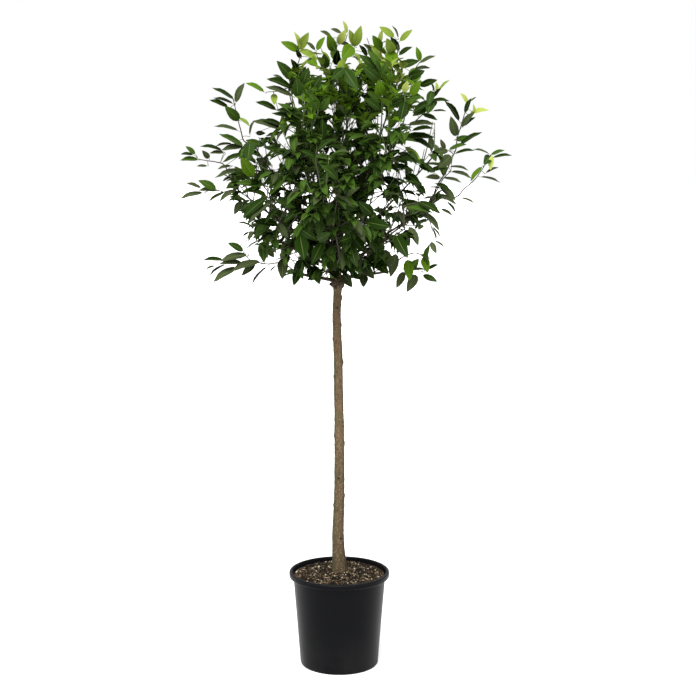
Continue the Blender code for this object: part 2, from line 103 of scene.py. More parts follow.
# Pot, as the solid has it
POT_SIDES = 128
LIP_DEPTH = 0.0175
LIP_ROUND = 0.0045
MOUTH_RADIUS = 0.1455
WALL_TOP_RADIUS = 0.1423
FOOT_RADIUS = 0.1206
FOOT_ROUND = 0.006
WALL = 0.0028
FLOOR = 0.0035
ARC_STEPS = 6
DRAIN_HOLES = 6
DRAIN_RADIUS = 0.008
DRAIN_CIRCLE = 0.088
DRAIN_SIDES = 32
POLE_RADIUS = 0.0005
WALL_HEIGHTS = (0.03, 0.10, 0.18, 0.25)
UNDER_LIP = 0.0012  # height and width of the step under the lip
LIP_STEP = 0.0015
MOUTH_ROUND = LIP_ROUND * 0.6

# Potting mix
MIX_EDGE_HEIGHT = 0.284
MIX_FLAT_RADIUS = 0.032
MIX_CLEARANCE = 0.0003
MIX_GRID = 150
MIX_CALM_EDGE = 0.010
MIX_SINK = 0.4  # how far the smooth surface lies below the mean, beside the lump height
EDGE_ROUGH = 0.35  # how much of the lumps is left at the wall
MIX_WAVES = (45.0, 0.55)  # how close together, and how high beside the lump height
MIX_LUMPS = (120.0, 0.55)
MIX_CRUMBS = (420.0, 0.30)

# Bark chips, fibres and grains on the mix
CHUNK_CORNERS = np.array([(x, y, z) for z in (-1, 1) for y in (-1, 1) for x in (-1, 1)], float)
CHUNK_FACES = np.array([(0, 2, 3, 1), (4, 5, 7, 6), (0, 1, 5, 4), (2, 6, 7, 3), (0, 4, 6, 2), (1, 3, 7, 5)])
CHUNK_PINCH = (0.45, 1.0)
Litter = namedtuple("Litter", "tint colour chips fibres flecks")
LITTER = [Litter(*row) for row in (  # with each tint's share of the chips, fibres and flecks
    ("dark", (0.008, 0.005, 0.0025), 0.60, 0.30, 0.25),
    ("brown", (0.040, 0.026, 0.011), 0.24, 0.35, 0.25),
    ("tan", (0.165, 0.110, 0.055), 0.10, 0.25, 0.20),
    ("grey", (0.115, 0.100, 0.068), 0.05, 0.10, 0.10),
    ("pale", (0.560, 0.480, 0.370), 0.01, 0.02, 0.20),
)]
Grain = namedtuple("Grain", "kind margin lean sizes lift")
GRAINS = (  # sizes from and to, along X, Y and Z
    Grain("chips", 0.012, 0.45, ((0.004, 0.013), (0.003, 0.007), (0.0016, 0.0040)), 0.0030),
    Grain("fibres", 0.014, 0.25, ((0.010, 0.026), (0.0007, 0.0015), (0.0006, 0.0014)), 0.0042),
    Grain("flecks", 0.006, 0.60, ((0.0022, 0.0060), (0.0018, 0.0042), (0.0016, 0.0034)), 0.0040),
)
LITTER_FROM = 0.022  # metres out from the trunk's middle
DAMP_SCALE = 38.0  # damp, dark patches of the mix: how close together
DAMP_FROM = 0.08
DAMP_SHARE = 0.8

# Trunk
HEAD_HEIGHT = 1.19
FOOT_STEM_RADIUS = 0.0173
HEAD_STEM_RADIUS = 0.0122
TIP_STEM_RADIUS = 0.0085
FLARE = 0.0075
FLARE_HEIGHT = 0.07
HEAD_SWELL = 0.0078
HEAD_SWELL_HEIGHT = 0.012
COLLAR_LOW = 1.168
COLLAR_LUMPS = 0.0062
STEM_WANDER = (  # height, sideways shift of the stem's middle
    (0.29, 0.0), (0.41, -0.004), (0.54, 0.0), (0.71, 0.0), (0.94, -0.003), (1.09, -0.008), (1.19, -0.005),
)
Scar = namedtuple("Scar", "height azimuth rise spread")
SCARS = [Scar(*row) for row in (  # where side shoots and buds were rubbed off
    (1.186, 186, 0.0060, 0.0050), (1.182, 350, 0.0030, 0.0060), (1.180, 250, 0.0026, 0.0060),
    (1.158, 276, -0.0008, 0.0024), (1.117, 262, -0.0008, 0.0026), (0.936, 275, -0.0008, 0.0024),
    (1.146, 350, 0.0034, 0.0075), (1.118, 280, 0.0016, 0.0050), (1.064, 8, 0.0032, 0.0065),
    (1.022, 195, 0.0028, 0.0060), (0.949, 352, 0.0034, 0.0070), (0.905, 178, 0.0026, 0.0060),
    (0.828, 60, 0.0026, 0.0065), (0.723, 184, 0.0030, 0.0070), (0.697, 2, 0.0036, 0.0070),
    (0.618, 120, 0.0026, 0.0065), (0.592, 262, 0.0014, 0.0060), (0.535, 345, 0.0026, 0.0065),
    (0.503, 186, 0.0024, 0.0065), (0.440, 40, 0.0020, 0.0060), (0.402, 300, 0.0014, 0.0060),
)]
SCAR_RISE = 1.35
SCAR_RING = 0.85  # how wide ring, dent and stain are, beside the spread
SCAR_DENT = 0.38
SCAR_DENT_DEPTH = 0.75
SCAR_STAIN = 0.80
SCAR_LIMIT = 4.0
COLLAR_GRAIN = (3.6, 120.0)  # around the stem, and along it
FLUTES = 5
FLUTE_DEPTH = FLARE * 0.22
FLUTE_HEIGHT = 0.03
FLUTE_TURN = 0.8
RIDGES = (3.0, 18.0, 0.9)  # around or across the stem, along it, and how high
WRINKLES = (90.0, 330.0, 0.7)
BARK_GRAIN = (520.0, 0.5)
BOUGH_GRAIN = (260.0, 0.6)
TRUNK_SIDES = 48
TRUNK_CUTS = (100, 2)  # first and second cuts between foot and tip
TRUNK_SHADE = 0.0  # painted shade: how much darker than the trunk a bark is, the boughs being shaded inside the crown
BOUGH_SHADE = 0.55
BARK_ANGLE = 55.0  # edges sharper than this, in degrees, stay sharp

# Boughs, as the source has them: from the lowest on the trunk to the leader
BOUGH_LENGTH = 0.115
LOWEST_BOUGH = 1.197
HIGHEST_BOUGH = 1.320
LEADER_SEAT = 0.008
OUTWARD_SWEEP = 0.50
UPWARD_SWEEP = 0.42
ROOT_SWEEP = 0.03
ARCH = 0.02
BOUGH_ROOT_RADIUS = 0.0060
BOUGH_TIP_RADIUS = 0.0036
STEM_TIP_RADIUS = 0.0016
SHORTEST_STEM = 0.5  # shares of a bough's curve
STEM_CUT = 0.01
LIMB_POINTS = 26
LIMB_SIDES = 12

Bough = namedtuple("Bough", "name azimuth reach tip_height")
BOUGHS = [Bough(*row) for row in (
    ("low_left", 186, 0.395, 1.262),
    ("low_right", 340, 0.290, 1.240),
    ("low_back", 100, 0.330, 1.275),
    ("low_front", 258, 0.300, 1.250),
    ("right_back", 42, 0.420, 1.430),
    ("left_front", 201, 0.460, 1.480),
    ("right_front", 310, 0.400, 1.425),
    ("left_back", 136, 0.420, 1.445),
    ("right", 3, 0.505, 1.590),
    ("front", 262, 0.420, 1.530),
    ("left", 172, 0.460, 1.590),
    ("back", 84, 0.430, 1.560),
    ("upper_right", 16, 0.440, 1.735),
    ("upper_left", 164, 0.375, 1.765),
    ("upper_front_right", 312, 0.320, 1.765),
    ("upper_front_left", 236, 0.310, 1.775),
    ("upper_back", 84, 0.300, 1.790),
    ("top_left", 190, 0.175, 1.890),
    ("top_right", 352, 0.210, 1.935),
    ("leader", 280, 0.030, 1.958),
)]
BOUGH_NAMES = [bough.name for bough in BOUGHS]

# How far the crown's body reaches to the left and to the right, as seen from the front
Reach = namedtuple("Reach", "height left right")
BODY_OUTLINE = [Reach(*row) for row in (
    (1.195, 0.040, 0.040), (1.235, 0.195, 0.150), (1.285, 0.235, 0.190), (1.345, 0.270, 0.225),
    (1.405, 0.300, 0.285), (1.465, 0.330, 0.305), (1.520, 0.338, 0.320), (1.585, 0.325, 0.315),
    (1.610, 0.265, 0.290), (1.640, 0.205, 0.290), (1.665, 0.178, 0.285), (1.711, 0.168, 0.280),
    (1.741, 0.140, 0.280), (1.776, 0.145, 0.270), (1.800, 0.152, 0.258), (1.840, 0.142, 0.225),
    (1.880, 0.080, 0.175), (1.920, 0.030, 0.070), (1.960, 0.000, 0.020),
)]

# Where the front view shows the sky through the crown, in pixels of the view
SkyGap = namedtuple("SkyGap", "x y radius")
SKY_GAPS = [SkyGap(*spot) for spot in (
    # the upper crown
    (329, 48, 4), (321, 47, 4), (317, 71.5, 2.5), (324, 76, 2), (326, 51, 2), (366, 37, 4), (328, 63, 4),
    (339, 60, 2.5), (333, 65, 2), (337, 84, 1.8), (337.5, 90, 1.8), (348, 58, 1.8), (319.5, 64, 2),
    (352, 65.5, 3), (358, 65, 2), (357, 48, 3.5), (365, 53, 3), (372, 62, 2), (393, 54, 3.5),
    (404, 72, 1.5), (397, 84, 2.5), (408, 89, 1.5), (364.5, 87.5, 2), (352.5, 97, 1), (360, 100, 2.2),
    (351.5, 111, 3.2), (334, 110, 3), (335.5, 104, 2), (346, 124.5, 5), (352.5, 121, 3), (357, 126, 2),
    (334, 128, 3), (331, 124, 2), (376, 120, 3.2), (384, 122.5, 3.2), (382, 132, 3.6), (375, 132, 2),
    (388, 132, 1.5), (366, 132, 1), (398, 127, 2), (394.5, 125.5, 1.2), (399.5, 108, 1), (410, 113, 2.5),
    (413, 119, 2.5), (418, 121, 3), (425, 119, 3), (421, 100.5, 2.5), (409, 132, 3), (415, 132, 4),
    (424, 132, 4), (295, 99, 2.5), (298.5, 103, 2.5), (292, 97, 1.5), (303.5, 126, 1), (313, 127, 2),
    (328, 113, 2), (330, 120, 1.5),
    # the right
    (342, 139, 4.2), (351.5, 150, 3.2), (334, 149, 2), (331, 152, 2), (353, 140, 2), (379.5, 150, 3),
    (384.5, 152, 2.6), (386.5, 142, 1.5), (358.5, 163, 2), (370, 161, 1.8), (368, 164, 1.3),
    (347, 167.5, 2.2), (358.7, 173, 1.6), (352.5, 176, 1.6), (333.5, 185.5, 2), (333.5, 196, 3),
    (330, 200, 2), (345, 188, 1.3), (352.5, 198, 1.2), (367.5, 184.5, 1.3), (395, 155.5, 2.5),
    (402, 144, 3), (412, 143, 2), (423, 143.5, 3.5), (413, 148, 3), (403, 151, 3), (425, 153, 3),
    (426, 158, 3), (393, 164, 2.5), (406, 164, 3.5), (416, 163, 2), (388, 174, 4), (396, 173, 3.5),
    (403, 174, 3.5), (413, 172, 3), (423, 173, 5), (384.5, 186, 2.5), (379, 192, 3), (374, 197, 3),
    (380, 201, 4), (372, 203, 2.5), (371.5, 208, 2), (385, 206, 3), (377.5, 212.5, 2), (383, 215.5, 2),
    (402, 184, 3), (409, 187, 3.5), (424, 181, 3), (428, 187, 2), (407, 194, 4), (413, 197, 2.5),
    (396, 199, 2.5), (424, 195, 2.5), (431, 191, 2.5), (399, 208, 3), (394, 213, 2), (403, 212, 2),
    (358.5, 217, 2), (368, 216.5, 2), (366.5, 223, 1.5), (371.5, 228.5, 1.5), (393, 221, 2.5),
    (398, 226, 4), (393, 231, 2.5), (403, 229, 3), (366, 244, 1.8), (387, 246, 3), (390, 251, 2.5),
    (396, 251, 2), (386, 240.5, 1.5), (363, 254, 1.8), (412, 224, 4),
    # the left
    (296, 113, 1.2), (281, 136, 2.5), (285, 142, 5), (280, 144, 2), (289, 147, 1.5), (292, 131, 2.5),
    (266, 145.5, 2), (257, 148, 2.5), (262, 153, 3), (253.5, 156, 1.5), (256.5, 160, 1.5),
    (269.5, 158.5, 2), (281, 157, 2.5), (286, 161.5, 2), (279, 163, 2), (274, 166, 2.5), (268, 168, 2),
    (260, 165, 1.5), (325, 144, 1), (321.5, 148, 1.5), (327, 151.5, 2.5), (308, 156, 1.4),
    (304.5, 165.5, 1.5), (326.5, 168, 1.5), (315, 179, 3), (314, 174, 2), (306, 175, 1.5),
    (301.5, 178.5, 1.5), (308, 183, 2), (287, 185, 4), (282, 184, 2), (293, 186, 2.5), (266, 187, 1.8),
    (272, 187.5, 2), (245, 187.5, 4), (265.5, 177.5, 1.2), (279, 174, 1), (289, 171, 1), (328, 181, 2),
    (251, 143, 2), (283, 193.5, 2.5), (263, 190.5, 1.5), (254, 194, 4), (246, 196, 4), (273, 197.5, 1.8),
    (259, 198.5, 1.5), (305, 192.5, 2), (309, 191.5, 1.5), (308, 200.5, 3), (303, 204, 2.5),
    (327, 198.5, 2.5), (329, 189, 1.5), (265, 202.5, 3), (277.5, 203.5, 2.5), (266, 210, 3),
    (282, 208.5, 1.5), (287.5, 211, 1.7), (268, 213.5, 3), (264, 219, 3), (277, 219.5, 2.5),
    (299, 218.5, 2), (298, 224.5, 2), (293.5, 227.5, 2), (274, 227, 3), (282, 233, 1), (284.5, 239, 2),
    (268.5, 244.5, 1), (276, 251, 3), (278, 255, 2.5), (270, 257, 3.5), (294, 251, 2), (292.5, 256, 2),
    (314.5, 264, 1), (321.5, 262, 1),
    # under the crown and about the head of the trunk
    (293, 263, 4), (306, 270, 4), (327, 273, 3), (323, 288, 8), (334, 284, 6), (381, 274, 6), (392, 268, 6),
    (276, 266, 6),
)]
CUT_BACK = [SkyGap(*spot) for spot in (  # and where grown leaves are cut back again
    (432, 117, 3), (433, 124, 4), (432, 132, 4), (432, 141, 4), (430, 148, 3),
    (334, 36, 4), (338, 32, 3), (347, 36, 3), (341, 42, 3), (350, 43, 3),
)]
GAP_MARGIN = 0.9

# Sprays around the crown's body. Paths and leaves are given in pixels of the front view:
# a row for each leaf, with the base and the tip of its blade, how wide it looks and its tint.
Spray = namedtuple("Spray", "bough share depth path leaves")
SprayLeaf = namedtuple("SprayLeaf", "base_x base_y tip_x tip_y wide tint")
SPRAYS = (
    Spray("top_left", 0.80, -0.020, ((293, 78), (297, 66), (300, 57), (299, 50)), (
        (299, 49, 294.5, 32, 3.5, "lime"), (299, 49, 309, 33, 8, "spring"), (299, 51, 281, 42, 7, "fresh"),
        (301, 58, 296, 50, 4, "dark"), (300, 50, 318, 60, 6, "spring"), (293, 80, 277, 61, 9, "mid"),
        (298, 72, 291, 59, 5, "dark"), (309, 58, 318, 67, 8, "fresh"),
    )),
    Spray("leader", 0.60, -0.050, ((330, 85), (322, 68), (316, 53)), (
        (317, 50, 325, 37, 5, "fresh"), (315, 50, 306, 42, 3, "moss"), (326, 68, 324, 54, 8, "grass"),
        (330, 62, 321, 51, 3, "spring"),
    )),
    Spray("leader", 0.80, -0.030, ((343, 58), (344, 50), (345, 42), (347, 36)), (
        (347, 33, 343, 21, 3, "lime"), (341, 33, 330.5, 29, 3, "moss"), (331, 37, 320, 31, 3, "moss"),
        (338, 44, 346, 30, 7, "lime"), (334, 51, 328, 34, 9, "fresh"), (355, 46, 361, 26, 8, "spring"),
        (356, 46, 349, 30, 7, "spring"), (352, 46, 342, 60, 12, "fresh"), (340, 43, 350, 45, 3, "deep"),
        (336, 65, 338, 50, 7, "dark"), (367, 56, 359, 45, 4, "dark"), (372, 54, 363, 44, 2, "dark"),
    )),
    Spray("top_right", 0.78, -0.030, ((398, 66), (397, 56), (398, 48), (395, 40)), (
        (394, 37, 379, 27, 6, "spring"), (398, 38, 392, 26, 1.5, "moss"), (400, 41, 412, 30, 5, "spring"),
        (380, 42, 382, 30, 4, "lime"), (381, 48, 372, 36, 8, "fresh"), (393, 53, 386, 39, 9, "spring"),
        (399, 51, 390, 37, 5, "dark"), (399, 55, 412, 47, 4, "deep"), (380, 60, 371, 46, 5, "spring"),
        (371, 49, 364, 44, 3, "moss"), (391, 52, 390, 67, 11, "fresh"), (398, 66, 407, 60, 4, "moss"),
    )),
    Spray("top_right", 0.60, -0.060, ((404, 90), (411, 76), (417, 66), (420, 62)), (
        (420, 61, 416, 47, 5, "fresh"), (420, 63, 435, 56, 3, "moss"), (400, 66, 419, 61, 7, "mid"),
        (414, 70, 430, 68, 3, "moss"), (409, 77, 424, 71, 8, "mid"), (420, 86, 437, 80, 6, "deep"),
        (395, 83, 405, 73, 5, "lime"),
    )),
    Spray("upper_front_right", 0.72, -0.200, ((425, 112), (433, 99), (437, 92)), (
        (437, 92, 436, 82, 3, "lime"), (439, 90, 449, 80, 2, "spring"), (434, 97, 441, 88, 3, "dark"),
        (434, 92, 430, 82, 1.5, "deep"), (430, 102, 449, 101, 3, "deep"), (433, 111, 446, 111, 1.5, "deep"),
        (422, 114, 437, 120, 4, "deep"), (408, 125, 434, 124, 4.5, "moss"), (433, 99, 426, 114, 8, "mid"),
        (429, 104, 412, 116, 8, "deep"), (432, 91, 427, 106, 7, "mid"), (434, 101, 412, 113, 6, "deep"),
        (437, 101, 424, 109, 6, "deep"), (405, 101, 400, 122, 8, "deep"),
    )),
    Spray("right", 0.52, 0.060, (
        (437, 186), (446, 172), (451, 160), (456, 149), (457, 139), (461, 126), (466, 109), (469, 102),
    ), (
        (468, 104, 460, 93, 3.5, "lime"), (465, 113, 471, 98, 4, "deep"), (471, 101, 476, 97, 1, "moss"),
        (462, 127, 474, 112, 5, "moss"), (470, 114, 488, 110, 4, "lime"), (474, 112, 473, 104, 2, "lime"),
        (464, 126, 475, 117, 3, "deep"), (459, 121, 444, 101, 5, "dark"), (456, 136, 450, 116, 8, "moss"),
        (456, 140, 469, 136, 5, "grass"), (460, 145, 481, 132, 4, "deep"),
        (449, 150, 466, 144, 3.5, "grass"), (445, 149, 440, 139, 4, "moss"),
        (451, 156, 437, 167, 10, "moss"), (448, 151, 431, 152, 6, "moss"),
    )),
    Spray("right", 0.58, 0.000, ((456, 197), (464, 189), (470, 184), (476, 178), (483, 168), (490, 157)), (
        (490, 156, 482, 164, 8, "mid"), (492, 156, 490, 170, 5, "lime"), (491, 155, 504, 150, 3, "grass"),
        (493, 158, 511, 155, 2.5, "deep"), (486, 173, 498, 167, 2, "moss"),
        (481, 177, 499, 182, 1.5, "moss"), (482, 167, 470, 181, 4, "fresh"),
        (461, 198, 474, 203, 1.5, "moss"), (489, 154, 473, 149, 1.5, "moss"),
    )),
    Spray("right", 0.50, 0.020, ((430, 200), (437, 190), (443, 179), (451, 171)), (
        (455, 154, 474, 150, 2.5, "deep"), (451, 172, 471, 178, 3, "moss"), (450, 167, 468, 170, 2, "moss"),
        (443, 178, 461, 182, 2.5, "moss"), (440, 178, 425, 177, 4.5, "moss"),
        (446, 199, 421, 198, 1.5, "moss"), (436, 184, 450, 190, 4, "deep"), (440, 186, 455, 200, 6, "moss"),
        (435, 195, 456, 204, 4.2, "moss"), (447, 202, 455, 212, 2, "deep"),
        (441, 209, 452, 215, 2.5, "moss"), (430, 171, 446, 168, 4, "grass"),
    )),
    Spray("right_front", 0.70, -0.230, ((404, 208), (412, 204), (421, 205), (431, 225), (432, 240)), (
        (418, 202, 440, 213, 6, "deep"), (421, 211, 439, 230, 5.5, "moss"), (409, 227, 418, 245, 7, "moss"),
        (400, 234, 414, 238, 4, "deep"), (432, 227, 440, 237, 1.3, "moss"),
        (432, 228, 436, 240, 1.5, "moss"), (435, 241, 444, 247, 1.5, "moss"),
        (431, 242, 436, 253, 5, "moss"), (396, 236, 407, 256, 11, "deep"), (411, 215, 419, 222, 5, "dark"),
        (418, 217, 425, 215, 3, "dark"), (418, 222, 429, 220, 2, "moss"), (405, 207, 432, 212, 5, "grass"),
    )),
    Spray("low_right", 0.50, -0.070, (
        (396, 262), (405, 256), (414, 253), (421, 255), (426, 262), (424, 272),
    ), (
        (426, 269, 429, 243, 5, "grass"), (429, 258, 420, 254, 3, "grass"),
        (424, 257, 427, 271, 8, "fresh"), (428, 269, 438, 264, 3, "deep"), (423, 275, 437, 281, 5.5, "mid"),
        (411, 268, 418, 257, 7.5, "grass"), (408, 260, 409, 279, 9.5, "fresh"),
        (416, 275, 406, 290, 9, "moss"), (404, 272, 396, 287, 7, "moss"), (396, 254, 390, 276, 9, "moss"),
        (412, 270, 425, 269, 2.2, "moss"), (372, 256, 388, 272, 11, "deep"),
        (384, 250, 391, 268, 9, "moss"),
    )),
    Spray("upper_left", 0.68, 0.060, ((244, 141), (241, 131), (238, 120), (235, 107), (233, 99)), (
        (234, 100, 213, 88, 3.5, "deep"), (236, 102, 245, 83, 6, "moss"), (233, 104, 214, 98, 2.5, "moss"),
        (228, 107, 210, 100, 4, "deep"), (239, 120, 226, 106, 9, "grass"),
        (239, 118, 250, 126, 3, "spring"), (238, 131, 215, 126, 3, "moss"),
        (243, 146, 220, 134, 5, "grass"), (243, 147, 222, 150, 5, "moss"), (232, 144, 216, 146, 2, "deep"),
        (263, 146, 246, 140, 6, "grass"), (250, 135, 255, 120, 2, "moss"),
    )),
    Spray("top_left", 0.62, -0.030, ((295, 108), (292, 97), (290, 88), (279, 91), (267, 92)), (
        (264, 92, 246, 83, 4, "fresh"), (291, 88, 267, 79, 6, "deep"), (292, 96, 266, 87, 5, "moss"),
        (274, 94, 275, 105, 6, "spring"), (276, 110, 256, 102, 5, "deep"), (283, 79, 273, 75, 2, "moss"),
        (281, 129, 253, 121, 6, "moss"), (283, 126, 262, 120, 4, "deep"), (256, 133, 266, 133, 4, "dark"),
        (281, 134, 266, 136, 3, "moss"),
    )),
    Spray("left", 0.66, 0.040, ((225, 166), (216, 162), (209, 161), (203, 160), (198, 159)), (
        (195, 154, 186, 146, 4, "grass"), (193, 155, 181, 154, 2.5, "deep"),
        (198, 160, 181, 160, 4, "grass"), (207, 166, 197, 166, 2, "moss"), (222, 151, 201, 146, 3, "deep"),
        (209, 158, 203, 150, 5, "moss"), (224, 153, 210, 153, 3, "moss"), (247, 154, 223, 162, 4, "deep"),
        (231, 166, 218, 169, 2.5, "moss"), (247, 171, 216, 177, 4, "moss"), (230, 177, 223, 181, 2, "deep"),
    )),
    Spray("left", 0.60, 0.020, ((232, 190), (224, 192), (216, 190), (204, 192)), (
        (216, 189, 199, 180, 7, "grass"), (201, 188, 187, 183, 3, "moss"), (217, 191, 199, 190, 4, "moss"),
        (203, 193, 181, 198, 4, "moss"), (225, 192, 209, 201, 2.5, "deep"), (240, 187, 225, 188, 3, "moss"),
        (234, 190, 220, 201, 4, "moss"), (238, 199, 231, 197, 2.5, "deep"), (240, 202, 235, 214, 6, "moss"),
    )),
    Spray("low_left", 0.28, -0.030, (
        (283, 263), (268, 264), (255, 262), (250, 260), (243, 255), (233, 261), (226, 264),
    ), (
        (243, 251, 228, 242, 6, "mid"), (247, 255, 221, 260, 6.5, "moss"),
        (223, 260, 204, 259, 3.6, "deep"), (242, 263, 220, 263, 5, "moss"),
        (215, 266, 206, 269, 1.5, "moss"), (225, 265, 210, 275, 2, "dark"),
        (260, 262, 232, 270, 6.5, "moss"), (237, 268, 214, 281, 6.5, "moss"),
        (255, 264, 242, 275, 6, "moss"), (267, 267, 252, 284, 1.5, "dark"), (276, 266, 270, 272, 1, "dark"),
        (262, 243, 265, 261, 9, "mid"), (266, 246, 275, 256, 8, "moss"), (283, 259, 283, 277, 10, "moss"),
        (299, 268, 294, 284, 8, "deep"), (260, 240, 247, 248, 1.2, "moss"), (252, 231, 249, 241, 3, "moss"),
        (249, 232, 243, 236, 1.5, "dark"),
    )),
    Spray("low_front", 0.20, -0.080, ((338, 266), (338, 252), (337, 235)), (
        (313, 266, 320, 282, 10, "mid"), (308, 268, 312, 280, 5, "dark"), (297, 257, 310, 271, 2, "dark"),
        (338, 248, 338, 273, 9, "moss"), (343, 274, 352, 285, 9, "moss"), (351, 272, 360, 278, 6, "deep"),
        (364, 275, 363, 285, 8, "moss"), (362, 264, 374, 277, 9, "moss"), (344, 262, 346, 275, 4, "moss"),
    )),
    Spray("upper_front_left", 0.62, -0.250, ((318, 112), (312, 95), (304, 80), (302, 70)), (
        (298, 96, 297, 78, 10, "mid"), (313, 88, 322, 75, 9, "mid"), (318, 109, 310, 93, 9, "grass"),
        (321, 110, 330, 97, 8, "grass"), (322, 85, 311, 91, 5, "grass"), (303, 83, 309, 68, 9, "mid"),
        (302, 120, 278, 103, 5, "grass"), (303, 114, 276, 110, 5, "mid"), (302, 124, 272, 113, 5, "deep"),
        (300, 128, 283, 118, 4, "grass"),
    )),
    Spray("leader", 0.50, -0.170, ((324, 112), (325, 98), (334, 82), (343, 70)), (
        (343, 69, 331, 80, 8, "mid"), (344, 69, 358, 90, 10.5, "mid"), (324, 98, 330, 79, 6, "fresh"),
        (335, 122, 344, 104, 9, "mid"), (349, 112, 361, 98, 8, "mid"),
    )),
    Spray("upper_front_right", 0.50, -0.210, ((382, 110), (380, 95), (379, 78), (379, 62)), (
        (381, 96, 378, 80, 10.5, "fresh"), (378, 72, 359, 55, 8, "mid"), (379, 66, 367, 50, 6, "grass"),
        (380, 78, 388, 62, 8, "grass"), (381, 72, 374, 60, 4, "mid"), (382, 103, 366, 91, 6, "grass"),
        (379, 80, 362, 66, 9, "mid"), (381, 110, 363, 98, 7, "mid"), (405, 99, 391, 105, 7, "mid"),
    )),
    Spray("upper_front_right", 0.66, -0.220, ((403, 124), (405, 106), (405, 92), (410, 84)), (
        (404, 92, 407, 81, 6, "lime"), (411, 95, 420, 80, 8, "fresh"), (407, 102, 423, 97, 4, "grass"),
    )),
    Spray("left_front", 0.42, -0.220, (
        (294, 190), (293, 176), (292, 164), (296, 154), (304, 146), (316, 134),
    ), (
        (322, 140, 322, 118, 7, "deep"), (293, 158, 264, 147, 5, "deep"), (303, 147, 309, 127, 4, "mid"),
        (305, 150, 288, 138, 4, "mid"),
    )),
    Spray("front", 0.80, -0.340, ((320, 182), (316, 162), (317, 146)), (
        (338, 180, 320, 164, 7, "mid"), (318, 150, 334, 138, 5, "deep"), (316, 158, 300, 150, 5, "deep"),
    )),
    Spray("low_front", 0.60, -0.300, (
        (338, 262), (338, 247), (335, 232), (334, 220), (337, 200), (338, 185),
    ), (
        (335, 213, 327, 223, 10, "mid"), (356, 207, 337, 201, 10, "deep"), (318, 240, 331, 231, 9, "mid"),
        (300, 229, 318, 240, 8, "deep"), (300, 236, 305, 257, 13, "deep"), (353, 237, 340, 240, 7, "deep"),
        (341, 250, 342, 270, 5, "moss"), (350, 243, 356, 265, 10, "deep"), (322, 243, 312, 262, 10, "deep"),
        (349, 233, 345, 252, 8, "deep"), (347, 251, 350, 268, 7, "deep"), (334, 247, 327, 261, 8, "mid"),
    )),
    Spray("left_front", 0.40, -0.200, ((285, 232), (293, 222), (300, 211), (309, 207)), (
        (293, 208, 275, 199, 6, "mid"), (298, 211, 284, 222, 6, "deep"), (302, 219, 312, 230, 3, "moss"),
        (280, 208, 265, 223, 4, "deep"), (266, 198, 244, 217, 8, "deep"), (270, 203, 250, 221, 5, "moss"),
        (278, 225, 254, 221, 7, "deep"), (268, 230, 253, 238, 4.5, "mid"),
    )),
    Spray("right_front", 0.30, -0.240, ((360, 240), (361, 230), (362, 222), (366, 214)), (
        (366, 222, 391, 226, 10, "deep"), (361, 232, 381, 249, 8, "deep"), (372, 214, 358, 200, 10, "deep"),
        (352, 236, 366, 252, 9, "deep"),
    )),
    Spray("left", 0.42, -0.100, ((270, 196), (262, 184), (252, 171), (250, 164)), (
        (253, 176, 242, 156, 11, "fresh"), (250, 143, 249, 160, 11, "mid"),
        (262, 186, 236, 183, 6, "grass"), (262, 188, 241, 193, 4, "grass"),
    )),
    Spray("right_front", 0.20, -0.120, ((374, 190), (384, 166), (393, 150), (400, 136)), (
        (398, 141, 434, 137, 6, "deep"), (430, 136, 431, 152, 5, "moss"), (412, 131, 433, 128, 3.5, "deep"),
        (400, 135, 432, 149, 5, "deep"), (405, 147, 420, 160, 5, "spring"), (419, 165, 435, 172, 6, "deep"),
        (402, 191, 416, 195, 3, "dark"), (411, 157, 397, 153, 4, "deep"), (389, 166, 413, 171, 5, "deep"),
        (383, 178, 401, 184, 7, "dark"), (408, 175, 420, 184, 8, "deep"),
    )),
)
SPRAY_RADII = (0.0023, 0.0012)
SPRAY_STALK_RADIUS = 0.0009
SPRAY_WIDENING = 1.06
SPRAY_EDGE = 0.55
SPRAY_LEAF_BEND = 0.40
SPRAY_BEND_RANGE = (0.6, 1.3)
SPRAY_LEAF_FOLDS = (0.15, 0.35)
SPRAY_DEPTH_WANDER = 0.012
SPRAY_SHARES = (0.05, 1.0)  # of a blade's width that the view may show
SPRAY_STALK_FROM = 0.003  # nearer to the stem, a leaf needs no extra stalk
SPRAY_STALK_BOW = 0.1
FOREGROUND_TURN = 1.08  # a blade is at least this much longer than it looks

# Twigs, grown by the source's rule and carried to finer ones
SEED = 7
CROWN_MIDDLE = Vector((0.0, 0.0, 1.54))
CROWN_FLOOR = 1.172
CROWN_RADIUS = 0.45  # how far from the middle a place counts as outermost
REACH_MARGIN = 0.012
INNER_TWIGS_FROM = 0.045  # metres out from the trunk's middle
TWIG_SPACING = 0.033
THICK_BOUGHS = {  # how close twigs stand on these boughs, and how much longer they are
    "leader": (0.026, 1.50), "top_left": (0.030, 1.15), "top_right": (0.024, 1.15),
    "upper_back": (0.030, 1.25), "upper_front_left": (0.030, 1.20), "upper_front_right": (0.034, 1.20),
    "upper_left": (0.036, 1.15), "upper_right": (0.042, 1.15), "low_front": (0.028, 1.0),
    "low_back": (0.030, 1.0), "right": (0.052, 1.0), "right_front": (0.052, 1.0), "right_back": (0.055, 1.0),
}
FIRST_STEP = 0.3  # of the step between two twigs, or two leaves of a tip
TWIG_LENGTH = 0.135
TWIG_LENGTH_RANGE = (0.75, 1.15)
TWIG_SHORTENING = 0.45
TWIG_SPREAD = math.radians(63)
TWIG_CLOSING = 0.30
TWIG_LIFT = 0.55
TWIG_WAVER = 0.07
TWIG_POINTS = 7
FEWEST_POINTS = 3
TWIG_SIDES = 6
TWIG_RADII = (0.0019, 0.0010)
